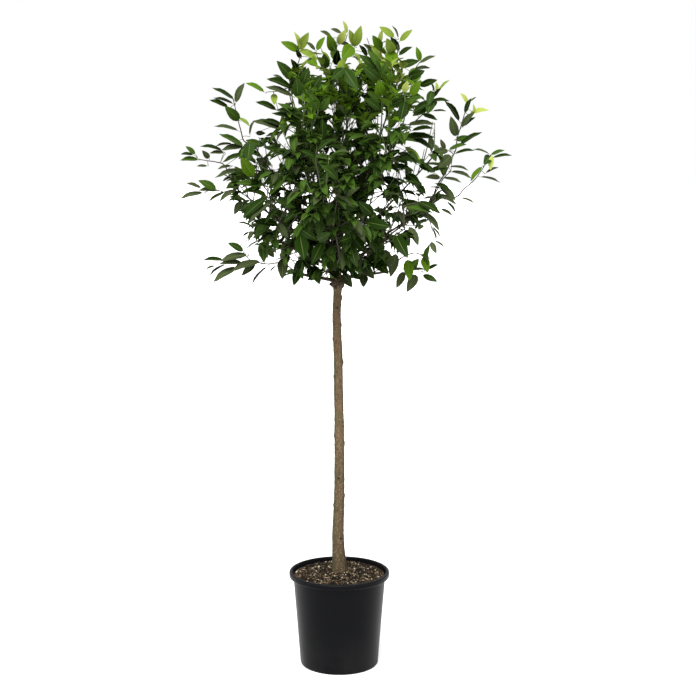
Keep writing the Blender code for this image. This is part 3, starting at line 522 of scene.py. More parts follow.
UPRIGHTS = {  # how many long upright shoots a bough carries
    "leader": 12, "low_left": 0, "low_right": 0, "low_front": 1, "low_back": 2, "right": 1, "upper_right": 2,
    "upper_back": 10, "upper_front_left": 6, "upper_front_right": 6, "back": 6, "front": 4, "top_left": 4,
    "top_right": 4, "left_back": 4, "right_back": 3,
}
UPRIGHTS_ELSEWHERE = 2
UPRIGHT_SHARES = (0.35, 0.95)
UPRIGHT_LENGTH = (0.14, 0.26)
UPRIGHT_LEAN = 0.45
UPRIGHT_LEAN_RANGE = (-1.1, 0.9)
UPRIGHT_WANDER = 0.3
LEADER_LEAN = 0.95
LEADER_LOWER = 0.80
LEADER_FLATTENING = 0.5
UPRIGHT_REACH = 0.405
SPURS_FROM_RUN = 0.075  # shorter twigs have no spur
SPUR_AT = 0.45  # of the twig's run
SPUR_LENGTH = 0.062
SPUR_LENGTH_RANGE = (0.7, 1.2)
SPUR_POINTS = 4
SPUR_SPREAD = math.radians(50)
SPUR_RADII = (0.0012, 0.0008)
GREEN_FROM = 1.30  # twigs are green more and more often above this height
GREEN_RISE = 0.45
GREEN_SHARES = (0.12, 0.92)
GREEN_SPRAYS_FROM = 1.75
GREEN_STALKS_FROM = 1.50

# Leaves of real size, and how they stand on a shoot
LEAF_SPACING = 0.022
LEAF_JITTER = 0.2
LEAF_TRIES = 6
LEAF_SPREAD = math.radians(52)
LEAVES_FROM = 0.30
STEM_LEAVES_FROM = 0.45
SPUR_LEAVES_FROM = 0.45
LAST_LEAF = 0.93
LAST_SIDE_LEAF = 0.97
SIDE_LEAF_SHADE = 1.0
RETRY_SHRINKING = 0.05
TIP_LEAVES = 4
TIP_SPREAD = math.radians(38)
TIP_OPENING = (0.35, 0.85)  # share of that spread at the very tip, and the rise from it
TIP_RETRY_SPREAD = 0.25
TIP_SIZES = (0.70, 0.30)  # size at the very tip, and the rise from it
TIP_STEP = 0.0022
OUTWARD_FACING = 0.45
MIDDLE_FLATTER = 0.32  # less of that facing in the middle, where leaves lie flat
MIDDLE_HEIGHT = 1.53
MIDDLE_SPREAD = 0.17
FACING_WANDER = 0.36
POINTING_WANDER = 0.22
POINTING_OUTWARD = 0.55
LEVELLING = 0.65  # leaves of a level shoot spread sideways in one plane
SAG = 0.50
SAG_FROM = 1.30  # leaves sag less and less above this height
SAG_RISE = 0.5
SAG_LOSS = 0.55
SAG_RANGE = (0.5, 1.2)
LEAF_SIZES = (0.82, 1.12)
LEAF_BENDS = (0.15, 0.85)
LOW_LEAF_BEND = 0.25
LEAF_FOLDS = (0.25, 0.70)
LEAF_TWIST = 0.30
TRUNK_CLEAR = 0.020

# Tints of the leaves, from the sunlit tips to the shade inside the crown, with the roughness of a blade
TINTS = (
    ("lime", (0.305, 0.360, 0.078), 0.45),
    ("spring", (0.160, 0.225, 0.030), 0.42),
    ("fresh", (0.068, 0.138, 0.006), 0.40),
    ("grass", (0.035, 0.074, 0.009), 0.38),
    ("mid", (0.0200, 0.0445, 0.0065), 0.38),
    ("deep", (0.0100, 0.0250, 0.0025), 0.38),
    ("dark", (0.0025, 0.0080, 0.0008), 0.38),
    ("moss", (0.041, 0.055, 0.021), 0.45),
)
TINT_NAMES = [tint[0] for tint in TINTS]
BRIGHTEST = TINT_NAMES.index("spring")  # of the leaves that grow by the rule
DARKEST = TINT_NAMES.index("dark")
MOSS = TINT_NAMES.index("moss")
MOSS_FROM_TONE = 2.5
MOSS_SHARE = 0.11
DULLER_BELOW = (1.80, 1.66)  # heights below which the brightest tints don't show
INNER_TONE = 4.95  # low in the middle, in steps from the brightest tint
TONE_BY_HEIGHT = 4.65
TONE_HEIGHT_POWER = 1.5
TONE_BY_DISTANCE = 1.3
SPRAY_TONE_WANDER = 0.8
LEAF_TONE_WANDER = 0.45
TONE_LIFT = 0.22
OUTER_LIFT = 0.60
RIB_COLOUR = (0.260, 0.310, 0.090)
RIB_SHARE = 0.25
RIB_ROUGHNESS = 0.5
UNDERSIDE_COLOUR = (0.055, 0.080, 0.018)
UNDERSIDE_SHARE = 0.27
UNDERSIDE_ROUGHNESS = 0.65
LEAF_SHEEN = 0.03

# One leaf: shares of its length, of its half width and of its stalk at which it has points
ROWS = (0.0, 0.09, 0.27, 0.48, 0.69, 0.87, 1.0)
TOP_COLUMNS = (-1.0, -0.52, -0.055, 0.055, 0.52, 1.0)
UNDER_COLUMNS = (-0.52, 0.0, 0.52)
STALK_STEPS = (0.0, 0.5, 1.0)
STALK_SIDES = 3
STALK_RADIUS = 0.0007
STALK_BOW = 0.0012
BLADE_DEPTH = 0.0007
BLADE_SWELL = 0.0012
MARGIN_WAVE = 0.0011
WAVES_ALONG = 13.0
WAVE_SHIFT = 20.0
BASE_POWER = 0.72
TIP_POWER = 0.95
NARROWEST = 0.035
BLADE, RIB, UNDER = 0, 1, 2


def smoothstep(t):
    return t * t * (3.0 - 2.0 * t)


def clamp(value, low=0.0, high=1.0):
    return max(low, min(high, value))


def bell(x, spread):
    return math.exp(-((x / spread) ** 2))


def seen_at(pixel_x, pixel_y, depth):
    """The place at a depth that the front view shows at a pixel."""
    forward = Vector((0.0, math.cos(CAMERA_TILT), -math.sin(CAMERA_TILT)))
    upward = Vector((0.0, math.sin(CAMERA_TILT), math.cos(CAMERA_TILT)))
    aside = (pixel_x - VIEW_MIDDLE) / PIXELS_PER_SLOPE + CAMERA_SHIFT * VIEW_PIXELS / PIXELS_PER_SLOPE
    ray = forward + Vector((aside, 0.0, 0.0)) + upward * (VIEW_MIDDLE - pixel_y) / PIXELS_PER_SLOPE
    return CAMERA_PLACE + ray * (depth - CAMERA_PLACE.y) / ray.y


def pixel_size(depth):
    """How much of the middle of the front view one pixel shows at a depth, in metres."""
    return (seen_at(VIEW_MIDDLE, VIEW_MIDDLE, depth) - seen_at(VIEW_MIDDLE + 1.0, VIEW_MIDDLE, depth)).length


def pixel_of(place):
    """The pixel at which the front view shows a place."""
    ray = place - CAMERA_PLACE
    ahead = ray.y * math.cos(CAMERA_TILT) - ray.z * math.sin(CAMERA_TILT)
    above = ray.y * math.sin(CAMERA_TILT) + ray.z * math.cos(CAMERA_TILT)
    x = VIEW_MIDDLE + PIXELS_PER_SLOPE * ray.x / ahead - CAMERA_SHIFT * VIEW_PIXELS
    return Vector((x, VIEW_MIDDLE - PIXELS_PER_SLOPE * above / ahead))


# ---------------------------------------------------------------- settings


def length_setting(name, description, default, least=0.0):
    return FloatProperty(
        name=name, description=description, default=default, min=least, unit="LENGTH", subtype="DISTANCE",
    )


def colour_setting(name, description, default):
    return FloatVectorProperty(
        name=name, description=description, default=default, min=0.0, max=1.0, size=3, subtype="COLOR",
    )


class PotSettings(bpy.types.PropertyGroup):
    height: length_setting("Height", "From the ground to the top of the lip", POT_HIGH.z, 0.01)
    lip_radius: length_setting("Lip radius", "Outer radius of the rolled lip", POT_HIGH.x, 0.01)
    colour: colour_setting("Plastic", "Colour of the moulded plastic", (0.0012, 0.0013, 0.0019))
    # also the painted highlight along the top of the lip and the painted reflection of the floor near the
    # foot
    dust_and_painted_sheen: colour_setting(
        "Dust", "Colour of the dust on the lip and near the foot", (0.0105, 0.0105, 0.0105),
    )


class MixSettings(bpy.types.PropertyGroup):
    chips: IntProperty(
        name="Chips", description="How many bark chips lie on the potting mix", default=1700, min=0,
    )
    fibres: IntProperty(
        name="Fibres", description="How many fibres and roots lie on the potting mix", default=420, min=0,
    )
    flecks: IntProperty(
        name="Flecks", description="How many small pale grains lie on the potting mix", default=1300, min=0,
    )
    colour: colour_setting("Mix", "Colour of the damp mix between the chips", (0.030, 0.018, 0.010))
    lump: length_setting("Lump height", "How far the lumps of the surface stand up", 0.0045)


class BarkSettings(bpy.types.PropertyGroup):
    relief: length_setting("Relief", "Depth of the bark's ridges and dents", 0.0013)
    colour: colour_setting("Bark", "Main colour of the bark", (0.088, 0.063, 0.031))
    warm: colour_setting("Warm patches", "Pinkish-brown patches", (0.120, 0.067, 0.038))
    # also the painted shade on the right side of the stem, on its head and over the boughs
    dark: colour_setting("Furrows", "Dents, scars and weathered streaks", (0.022, 0.016, 0.010))
    # the green film on the left side, darker than the bark, also paints shade along that edge
    algae_and_painted_shade: colour_setting("Green film", "Thin green film on the shaded side", (0.034, 0.042, 0.018))
    lenticel: colour_setting("Lenticels", "Small pale pores", (0.215, 0.168, 0.098))


class LeafSettings(bpy.types.PropertyGroup):
    length: length_setting("Leaf length", "Blade length of a full-grown leaf", 0.063, 0.005)
    width: length_setting("Leaf width", "Blade width of a full-grown leaf", 0.0255, 0.002)
    stalk: length_setting("Stalk length", "Length of a leaf's stalk", 0.008, 0.001)
    twig_bark: colour_setting("Twig bark", "Colour of older twigs", (0.034, 0.026, 0.017))
    twig_green: colour_setting("Green twigs", "Colour of this year's shoots", (0.060, 0.092, 0.024))


class StageSettings(bpy.types.PropertyGroup):
    floor: colour_setting("Floor", "Colour of the floor", (0.98, 0.98, 0.98))
    daylight: FloatProperty(
        name="Soft light", description="Strength of the even light from all around", default=1.0, min=0.0,
    )
    key: FloatProperty(
        name="Key light", description="Strength of the soft light from above", default=4.4, min=0.0,
    )
    distance: length_setting(
        "Camera distance", "From the trunk to the camera, along the ground", -CAMERA_PLACE.y, 0.5,
    )
    camera_height: length_setting("Camera height", "Height of the camera above the ground", CAMERA_PLACE.z)
    tilt: FloatProperty(
        name="Camera tilt", description="How far the camera looks down",
        default=CAMERA_TILT, unit="ROTATION", subtype="ANGLE",
    )
    lens: FloatProperty(
        name="Lens", description="Focal length in millimetres, on a sensor 36 mm wide",
        default=CAMERA_LENS, min=10.0,
    )


# ---------------------------------------------------------------- materials


def scaled(colour, factor):
    return tuple(min(1.0, c * factor) for c in colour)


def blend_colour(first, second, share):
    return tuple(a + (b - a) * share for a, b in zip(first, second))


class Value:
    """A number that varies over a surface. Sums and products of values add the nodes that work them out."""

    def __init__(self, shader, socket):
        self.shader = shader
        self.socket = socket

    def __add__(self, other):
        return self.shader.math("ADD", self, other)

    def __radd__(self, other):
        return self.shader.math("ADD", other, self)

    def __sub__(self, other):
        return self.shader.math("SUBTRACT", self, other)

    def __rsub__(self, other):
        return self.shader.math("SUBTRACT", other, self)

    def __mul__(self, other):
        return self.shader.math("MULTIPLY", self, other)

    def __rmul__(self, other):
        return self.shader.math("MULTIPLY", other, self)


class Shader:
    """A material with one Principled surface, and the nodes that feed it."""

    def __init__(self, name, colour, roughness, specular=0.5):
        self.material = bpy.data.materials.new(name)
        self.material.use_nodes = True
        self.material.diffuse_color = (*colour, 1.0)
        self.tree = self.material.node_tree
        self.surface = self.tree.nodes["Principled BSDF"]
        self.surface.inputs["Base Color"].default_value = (*colour, 1.0)
        self.surface.inputs["Roughness"].default_value = roughness
        self.surface.inputs["Specular IOR Level"].default_value = specular

    def connect(self, socket, value):
        if isinstance(value, Value):
            self.tree.links.new(value.socket, socket)
        elif isinstance(value, bpy.types.NodeSocket):
            self.tree.links.new(value, socket)
        elif socket.type == "RGBA" and len(value) == 3:
            socket.default_value = (*value, 1.0)
        else:
            socket.default_value = value

    def node(self, kind, settings=None, **inputs):
        """Adds a node, gives it its settings, and then its sockets their values or links."""
        made = self.tree.nodes.new(kind)
        for name, value in (settings or {}).items():
            setattr(made, name, value)
        for name, value in inputs.items():
            key = int(name[1:]) if name[0] == "_" else name.replace("_", " ")
            self.connect(made.inputs[key], value)
        return made

    def math(self, operation, *values, clamped=False):
        inputs = {f"_{k}": value for k, value in enumerate(values)}
        made = self.node("ShaderNodeMath", {"operation": operation, "use_clamp": clamped}, **inputs)
        return Value(self, made.outputs[0])

    def place(self):
        return self.node("ShaderNodeTexCoord").outputs["Object"]

    def axis(self, name):
        split = self.node("ShaderNodeSeparateXYZ", Vector=self.place())
        return Value(self, split.outputs[name])

    def stretched(self, x, y, z):
        multiply = {"operation": "MULTIPLY"}
        return self.node("ShaderNodeVectorMath", multiply, _0=self.place(), _1=(x, y, z)).outputs[0]

    def noise(self, scale, detail=3.0, roughness=0.55, vector=None):
        made = self.node(
            "ShaderNodeTexNoise",
            Vector=vector or self.place(), Scale=scale, Detail=detail, Roughness=roughness,
        )
        return Value(self, made.outputs["Fac"])

    def attribute(self, name):
        return Value(self, self.node("ShaderNodeAttribute", {"attribute_name": name}).outputs["Fac"])

    def cells(self, scale, vector=None, randomness=1.0):
        made = self.node(
            "ShaderNodeTexVoronoi", Vector=vector or self.place(), Scale=scale, Randomness=randomness
        )
        return Value(self, made.outputs["Distance"])

    def between(self, value, low, high):
        """0 below low, 1 above high and smooth between them."""
        made = self.node(
            "ShaderNodeMapRange", {"interpolation_type": "SMOOTHSTEP"},
            Value=value, From_Min=low, From_Max=high, To_Min=0.0, To_Max=1.0,
        )
        return Value(self, made.outputs["Result"])

    def mix(self, factor, first, second):
        made = self.node("ShaderNodeMix", {"data_type": "RGBA"}, Factor=factor, _6=first, _7=second)
        return made.outputs[2]

    def bump(self, height, distance, strength=1.0):
        made = self.node("ShaderNodeBump", Height=height, Distance=distance, Strength=strength)
        self.connect(self.surface.inputs["Normal"], made.outputs["Normal"])

    def paint(self, colour=None, roughness=None):
        if colour is not None:
            self.connect(self.surface.inputs["Base Color"], colour)
        if roughness is not None:
            self.connect(self.surface.inputs["Roughness"], roughness)
        return self.material


def plastic_material(settings):
    """Charcoal moulded plastic: a fine grain, specks of dust and a few scuffs, with a painted highlight along
    the top of the lip and a painted reflection of the floor near the foot, in the same pale colour.
    """
    shader = Shader("pot_plastic", settings.colour, 0.5, specular=0.065)
    cloud = shader.noise(11.0, 4.0)
    # painted reflection of the floor: lighter in cloudy patches towards the foot
    film_and_painted_light = shader.between(shader.axis("Z"), 0.17, -0.02) * shader.between(cloud, 0.25, 0.75)
    # painted highlight along the top of the lip
    lip = shader.between(shader.axis("Z"), settings.height - 0.006, settings.height - 0.001) * 0.35
    specks = shader.between(shader.noise(260.0, 2.0), 0.66, 0.74) * 0.35
    scuffs = shader.between(shader.noise(1.0, 5.0, 0.6, shader.stretched(9.0, 9.0, 60.0)), 0.62, 0.78) * 0.25
    # real specks and scuffs together with the painted reflection and highlight
    dust_and_painted_sheen = shader.math("ADD", film_and_painted_light * 0.55 + lip, specks + scuffs, clamped=True)
    colour = shader.mix(dust_and_painted_sheen, settings.colour, settings.dust_and_painted_sheen)
    shader.bump(shader.noise(620.0, 2.0) + cloud * 0.8, 0.00025, 0.6)
    return shader.paint(colour, 0.32 + cloud * 0.12 + dust_and_painted_sheen * 0.15)


def mix_material(settings):
    """Damp peat and fine bark, in lighter and darker patches, with painted shade in the gaps between its
    crumbs.
    """
    shader = Shader("potting_mix_crumbs", settings.colour, 0.95, specular=0.2)
    crumbs = shader.cells(330.0)
    cloud = shader.noise(42.0, 5.0, 0.65)
    colour = shader.mix(shader.between(cloud, 0.38, 0.72), settings.colour, scaled(settings.colour, 3.4))
    # painted shade: darker in the gaps between the crumbs
    colour = shader.mix(shader.between(crumbs, 0.42, 0.75), colour, scaled(settings.colour, 0.30))
    shader.bump(shader.noise(420.0, 4.0) + (1.0 - crumbs), 0.0012, 0.8)
    return shader.paint(colour)


def bark_material(settings, name, shade):
    """Thin bark: streaks, pinkish patches, pale lenticels, dark dents and scars, darker towards the bottom,
    and a green film on the left side. Painted shade darkens both sides of the stem, its head inside the crown
    and the boughs.
    """
    shader = Shader(name, settings.colour, 0.85, specular=0.12)
    height = shader.axis("Z")
    turn = shader.attribute("turn")
    patches = shader.noise(22.0, 4.0, 0.6)
    streaks = shader.noise(1.0, 5.0, 0.65, shader.stretched(420.0, 420.0, 55.0))
    wrinkles = shader.noise(1.0, 4.0, 0.6, shader.stretched(160.0, 160.0, 620.0))
    blotches = shader.noise(1.0, 4.0, 0.6, shader.stretched(120.0, 120.0, 75.0))
    fine = shader.noise(900.0, 3.0, 0.6)
    # green film on the left side of the stem, also painted shade along that edge
    film_and_painted_light = shader.between(turn, -0.35, -0.90) * shader.between(shader.noise(30.0, 3.0), 0.25, 0.50)
    pores = shader.between(shader.cells(1.0, shader.stretched(130.0, 130.0, 260.0)), 0.26, 0.12)
    grains = shader.between(shader.cells(170.0), 0.30, 0.14) * shader.between(height, 0.86, 0.62)
    # darker towards the bottom
    low = shader.between(height, 0.42, 0.29) * 0.16 + shader.between(height, 0.80, 0.55) * 0.24
    # painted shade over the trunk's head inside the crown, deeper in the crevices
    crevices = shader.between(shader.noise(190.0, 3.0), 0.44, 0.56)
    painted_head_shade = shader.between(height, COLLAR_LOW, COLLAR_LOW + 0.012) * (crevices * 0.75 + 0.2)
    # dark scar stains, with the darkening below and the painted shade of the head and the boughs
    scarred = shader.between(shader.attribute("scar"), 0.25, 0.75) * 0.9
    dark_marks_and_painted_shade = shader.math("ADD", low + painted_head_shade + shade, scarred, clamped=True)
    colour = settings.colour
    for amount, layer in (
        (shader.between(patches, 0.42, 0.62) * 0.8, settings.warm),
        (film_and_painted_light * 0.85, settings.algae_and_painted_shade),
        # painted shade along the right side of the stem
        (shader.between(turn, 0.55, 0.98) * 0.75, settings.dark),
        (shader.between(streaks, 0.48, 0.68) * 0.65, settings.dark),
        (shader.between(wrinkles, 0.56, 0.70) * 0.60, settings.dark),
        (pores * shader.between(patches, 0.30, 0.45) * 0.9, settings.lenticel),
        (shader.between(fine, 0.52, 0.64) * 0.35, settings.lenticel),
        (shader.between(blotches, 0.56, 0.66) * 0.55, settings.dark),
        (shader.between(blotches, 0.44, 0.34) * 0.30, settings.lenticel),
        (grains * 0.60, scaled(settings.lenticel, 2.0)),
        (dark_marks_and_painted_shade, settings.dark),
    ):
        colour = shader.mix(amount, colour, layer)
    shader.bump(streaks + wrinkles * 0.6 + fine * 0.5 + pores * 0.5, 0.0010, 1.0)
    return shader.paint(colour, 0.74 + fine * 0.2)


def twig_material(name, colour, roughness):
    shader = Shader(name, colour, roughness, specular=0.4)
    return shader.paint(shader.mix(shader.noise(60.0, 3.0), scaled(colour, 0.6), scaled(colour, 1.5)))


def plain_material(name, colour, roughness, specular=0.5):
    return Shader(name, colour, roughness, specular).material


# ---------------------------------------------------------------- modelling helpers


def deselect_all():
    if bpy.context.object and bpy.context.object.mode != "OBJECT":
        bpy.ops.object.mode_set(mode="OBJECT")
    bpy.ops.object.select_all(action="DESELECT")


def finish_piece(made, name, materials, replaced=(), angle=40.0):
    """Names a piece, bakes its place into its mesh, shades it and lets it ride on the plant's body."""
    deselect_all()
    made.name = name
    made.data.name = name
    made.select_set(True)
    bpy.context.view_layer.objects.active = made
    bpy.ops.object.transform_apply(location=True, rotation=True, scale=True)
    if made.data.materials:
        made.data.materials.clear()
    for material in materials:
        made.data.materials.append(material)
    bpy.ops.object.shade_smooth_by_angle(angle=math.radians(angle))
    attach(made, BODY)
    if replaced:
        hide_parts(*replaced)
    return made


def apply_modifier(thing, name):
    bpy.context.view_layer.objects.active = thing
    bpy.ops.object.modifier_apply(modifier=name)


def turned(profile, sides):
    """A turned shell: a ring at the profile's first point, extruded and resized to each point after it."""
    deselect_all()
    radius, height = profile[0]
    bpy.ops.mesh.primitive_circle_add(vertices=sides, radius=radius, location=(0.0, 0.0, height))
    made = bpy.context.object
    bpy.ops.object.mode_set(mode="EDIT")
    bpy.ops.mesh.select_all(action="SELECT")
    for next_radius, next_height in profile[1:]:
        bpy.ops.mesh.extrude_region_move(TRANSFORM_OT_translate={"value": (0.0, 0.0, next_height - height)})
        scale = next_radius / radius
        bpy.ops.transform.resize(value=(scale, scale, 1.0))
        radius, height = next_radius, next_height
    bpy.ops.mesh.select_all(action="SELECT")
    bpy.ops.mesh.fill_holes(sides=0)
    bpy.ops.mesh.select_all(action="SELECT")
    bpy.ops.mesh.normals_make_consistent(inside=False)
    bpy.ops.object.mode_set(mode="OBJECT")
    return made


def arc(centre, radius, start, end, steps=ARC_STEPS):
    """Points on part of a circle, from the start angle to the end angle, in degrees."""
    angles = [math.radians(start + (end - start) * k / steps) for k in range(steps + 1)]
    return [(centre[0] + radius * math.cos(a), centre[1] + radius * math.sin(a)) for a in angles]


def limbs_mesh(name, limbs, sides):
    """Tubes as one mesh: each limb is a list of points and a list of radii."""
    deselect_all()
    bpy.ops.curve.primitive_nurbs_path_add()
    made = bpy.context.object
    curve = made.data
    curve.name = name
    curve.splines.clear()
    curve.dimensions = "3D"
    curve.twist_mode = "MINIMUM"
    curve.use_fill_caps = True
    curve.bevel_depth = 1.0
    curve.bevel_resolution = (sides - 4) // 2
    for points, radii in limbs:
        spline = curve.splines.new("POLY")
        spline.points.add(len(points) - 1)
        for spot, place, radius in zip(spline.points, points, radii):
            spot.co = (*place, 1.0)
            spot.radius = radius
    bpy.ops.object.convert(target="MESH")
    return bpy.context.object


# ---------------------------------------------------------------- pot and potting mix


def wall_radius(height, pot_height):
    """The pot's outer radius at a height, between its foot and the underside of its lip."""
    return FOOT_RADIUS + (WALL_TOP_RADIUS - FOOT_RADIUS) * height / (pot_height - LIP_DEPTH)


def pot_profile(settings):
    """Radius and height from the middle of the underside, up the outside, and down the inside."""
    top = settings.height
    lip = settings.lip_radius
    lip_bottom = top - LIP_DEPTH
    foot = (wall_radius(FOOT_ROUND, top) - FOOT_ROUND, FOOT_ROUND)
    inner_foot = wall_radius(FLOOR, top) - WALL
    return (
        [(POLE_RADIUS, 0.0), (FOOT_RADIUS * 0.5, 0.0)]
        + arc(foot, FOOT_ROUND, -90.0, 0.0)
        + [(wall_radius(h, top), h) for h in WALL_HEIGHTS]
        + [(wall_radius(lip_bottom, top), lip_bottom - UNDER_LIP)]
        + [(wall_radius(lip_bottom, top) + LIP_STEP, lip_bottom)]
        + arc((lip - LIP_ROUND, lip_bottom + LIP_ROUND), LIP_ROUND, -90.0, 0.0)
        + arc((lip - LIP_ROUND, top - LIP_ROUND), LIP_ROUND, 0.0, 90.0)
        + arc((MOUTH_RADIUS + MOUTH_ROUND, top - MOUTH_ROUND), MOUTH_ROUND, 90.0, 180.0)
        + [(wall_radius(lip_bottom, top) - WALL, lip_bottom), (inner_foot, FLOOR), (POLE_RADIUS, FLOOR)]
    )


def drain_cutter():
    """The six drain holes as one cutter."""
    deselect_all()
    holes = []
    for k in range(DRAIN_HOLES):
        angle = math.tau * (k + 0.5) / DRAIN_HOLES
        bpy.ops.mesh.primitive_cylinder_add(
            vertices=DRAIN_SIDES, radius=DRAIN_RADIUS, depth=4 * FLOOR,
            location=(DRAIN_CIRCLE * math.cos(angle), DRAIN_CIRCLE * math.sin(angle), FLOOR / 2),
        )
        holes.append(bpy.context.object)
    for hole in holes:
        hole.select_set(True)
    bpy.ops.object.join()
    return bpy.context.object


class CHERRY_OT_pot(bpy.types.Operator):
    """Make the moulded pot with its rolled lip and drain holes"""

    bl_idname = "cherry.pot"
    bl_label = "Pot"

    def execute(self, context):
        settings = context.scene.cherry_pot
        pot = turned(pot_profile(settings), POT_SIDES)
        cutter = drain_cutter()
        deselect_all()
        cut = pot.modifiers.new("Drain holes", "BOOLEAN")
        cut.operation = "DIFFERENCE"
        cut.object = cutter
        apply_modifier(pot, cut.name)
        bpy.data.objects.remove(cutter)
        finish_piece(pot, "pot_shell", [plastic_material(settings)], ["pot"])
        return {"FINISHED"}


def mix_radius(height):
    """The radius of the mix at a height, clear of the pot's wall."""
    return wall_radius(height, POT_HIGH.z) - WALL - MIX_CLEARANCE


def mix_height(x, y, lump):
    """The lumpy surface of the mix, with a low mound under the stem."""
    radius = math.hypot(x, y)
    edge = mix_radius(MIX_EDGE_HEIGHT)
    rise = 1.0 - smoothstep(clamp((radius - MIX_FLAT_RADIUS) / (edge - MIX_FLAT_RADIUS)))
    base = MIX_EDGE_HEIGHT + (MIX_HIGH.z - MIX_EDGE_HEIGHT) * rise
    place = Vector((x, y, 0.0))
    waves = noise.noise(place * MIX_WAVES[0]) * MIX_WAVES[1]
    lumps = (0.5 - noise.voronoi(place * MIX_LUMPS[0])[0][0]) * MIX_LUMPS[1]
    crumbs = noise.noise(place * MIX_CRUMBS[0]) * MIX_CRUMBS[1]
    calm = clamp((edge - radius) / MIX_CALM_EDGE)
    return base - lump * MIX_SINK + lump * (waves + lumps + crumbs) * (EDGE_ROUGH + (1.0 - EDGE_ROUGH) * calm)


def disc_point(u, v):
    """Moves a point of a square from -1 to 1 onto the unit disc."""
    return u * math.sqrt(1.0 - v * v / 2.0), v * math.sqrt(1.0 - u * u / 2.0)


class CHERRY_OT_potting_mix(bpy.types.Operator):
    """Make the lumpy body of potting mix that fills the pot"""

    bl_idname = "cherry.potting_mix"
    bl_label = "Potting mix"

    def execute(self, context):
        settings = context.scene.cherry_mix
        deselect_all()
        bpy.ops.mesh.primitive_grid_add(x_subdivisions=MIX_GRID, y_subdivisions=MIX_GRID, size=2.0)
        made = bpy.context.object
        edge = mix_radius(MIX_EDGE_HEIGHT)
        for vertex in made.data.vertices:
            x, y = disc_point(vertex.co.x, vertex.co.y)
            vertex.co = (x * edge, y * edge, mix_height(x * edge, y * edge, settings.lump))
        scale = mix_radius(MIX_LOW.z) / edge
        down = (0.0, 0.0, MIX_LOW.z - MIX_EDGE_HEIGHT)
        bpy.ops.object.mode_set(mode="EDIT")
        bpy.ops.mesh.select_all(action="DESELECT")
        bpy.ops.mesh.select_mode(type="EDGE")
        bpy.ops.mesh.select_non_manifold()
        bpy.ops.mesh.extrude_region_move(TRANSFORM_OT_translate={"value": down})
        bpy.ops.transform.resize(value=(scale, scale, 0.0), center_override=(0.0, 0.0, MIX_LOW.z))
        bpy.ops.mesh.select_all(action="SELECT")
        bpy.ops.mesh.fill_holes(sides=0)
        bpy.ops.object.mode_set(mode="OBJECT")
        material = mix_material(settings)
        finish_piece(made, "potting_mix_body", [material], ["potting_mix"], angle=60.0)
        return {"FINISHED"}


def random_turn(rng, lean):
    """A turn about Z, and a lean away from level, as a matrix."""
    turn = Matrix.Rotation(rng.uniform(0.0, math.tau), 3, "Z")
    for axis in "XY":
        turn = turn @ Matrix.Rotation(rng.gauss(0.0, lean), 3, axis)
    return turn


def chunk(place, turn, size, rng):
    """An uneven block of eight corners: its points, as rows."""
    pinch = np.array([rng.uniform(*CHUNK_PINCH) for _ in range(CHUNK_CORNERS.size)])
    block = CHUNK_CORNERS * pinch.reshape(CHUNK_CORNERS.shape) * np.array(size) / 2
    return block @ np.array(turn).T + np.array(place)


def scatter_spot(rng, margin):
    """A spot on the mix, away from the trunk and clear of the pot's wall."""
    reach = wall_radius(MIX_EDGE_HEIGHT, POT_HIGH.z) - WALL - margin
    while True:
        x, y = rng.uniform(-reach, reach), rng.uniform(-reach, reach)
        if LITTER_FROM < math.hypot(x, y) < reach:
            return x, y


def pick(rng, shares):
    """An index, drawn with these shares."""
    return rng.choices(range(len(shares)), weights=shares)[0]


class CHERRY_OT_litter(bpy.types.Operator):
    """Scatter bark chips, fibres and pale grains over the potting mix"""

    bl_idname = "cherry.litter"
    bl_label = "Bark chips and grains"

    def execute(self, context):
        settings = context.scene.cherry_mix
        rng = random.Random(SEED)
        points, faces, tints = [], [], []
        for grain in GRAINS:
            shares = [getattr(litter, grain.kind) for litter in LITTER]
            for _ in range(getattr(settings, grain.kind)):
                x, y = scatter_spot(rng, grain.margin)
                place = (x, y, mix_height(x, y, settings.lump) + rng.uniform(0.0, grain.lift))
                size = [rng.uniform(*span) for span in grain.sizes]
                faces.append(CHUNK_FACES + len(CHUNK_CORNERS) * len(points))
                points.append(chunk(place, random_turn(rng, grain.lean), size, rng))
                tint = pick(rng, shares)
                if noise.noise(Vector((x, y, 0.0)) * DAMP_SCALE) > DAMP_FROM and rng.random() < DAMP_SHARE:
                    tint = 0
                tints.extend([tint] * len(CHUNK_FACES))
        made = mesh_piece("litter", np.concatenate(points), np.concatenate(faces).tolist(), tints)
        colours = [plain_material("litter_" + litter.tint, litter.colour, 0.9, 0.2) for litter in LITTER]
        finish_piece(made, "potting_mix_litter", colours, angle=20.0)
        return {"FINISHED"}


def mesh_piece(name, points, faces, slots):
    """A joined mesh from arrays, each face with its material slot."""
    mesh = bpy.data.meshes.new(name)
    mesh.from_pydata(points.tolist(), [], faces)
    mesh.polygons.foreach_set("material_index", np.asarray(slots, dtype=np.int32))
    mesh.update()
    made = bpy.data.objects.new(name, mesh)
    bpy.context.scene.collection.objects.link(made)
    return made


# ---------------------------------------------------------------- trunk and boughs


def stem_middle(height):
    """Where the trunk's middle is at a height, read smoothly from the wander of the stem."""
    if height <= STEM_WANDER[0][0]:
        return Vector((STEM_WANDER[0][1], 0.0, height))
    for (low, from_x), (high, to_x) in zip(STEM_WANDER, STEM_WANDER[1:]):
        if height <= high:
            t = smoothstep((height - low) / (high - low))
            return Vector((from_x + (to_x - from_x) * t, 0.0, height))
    return Vector((STEM_WANDER[-1][1], 0.0, height))


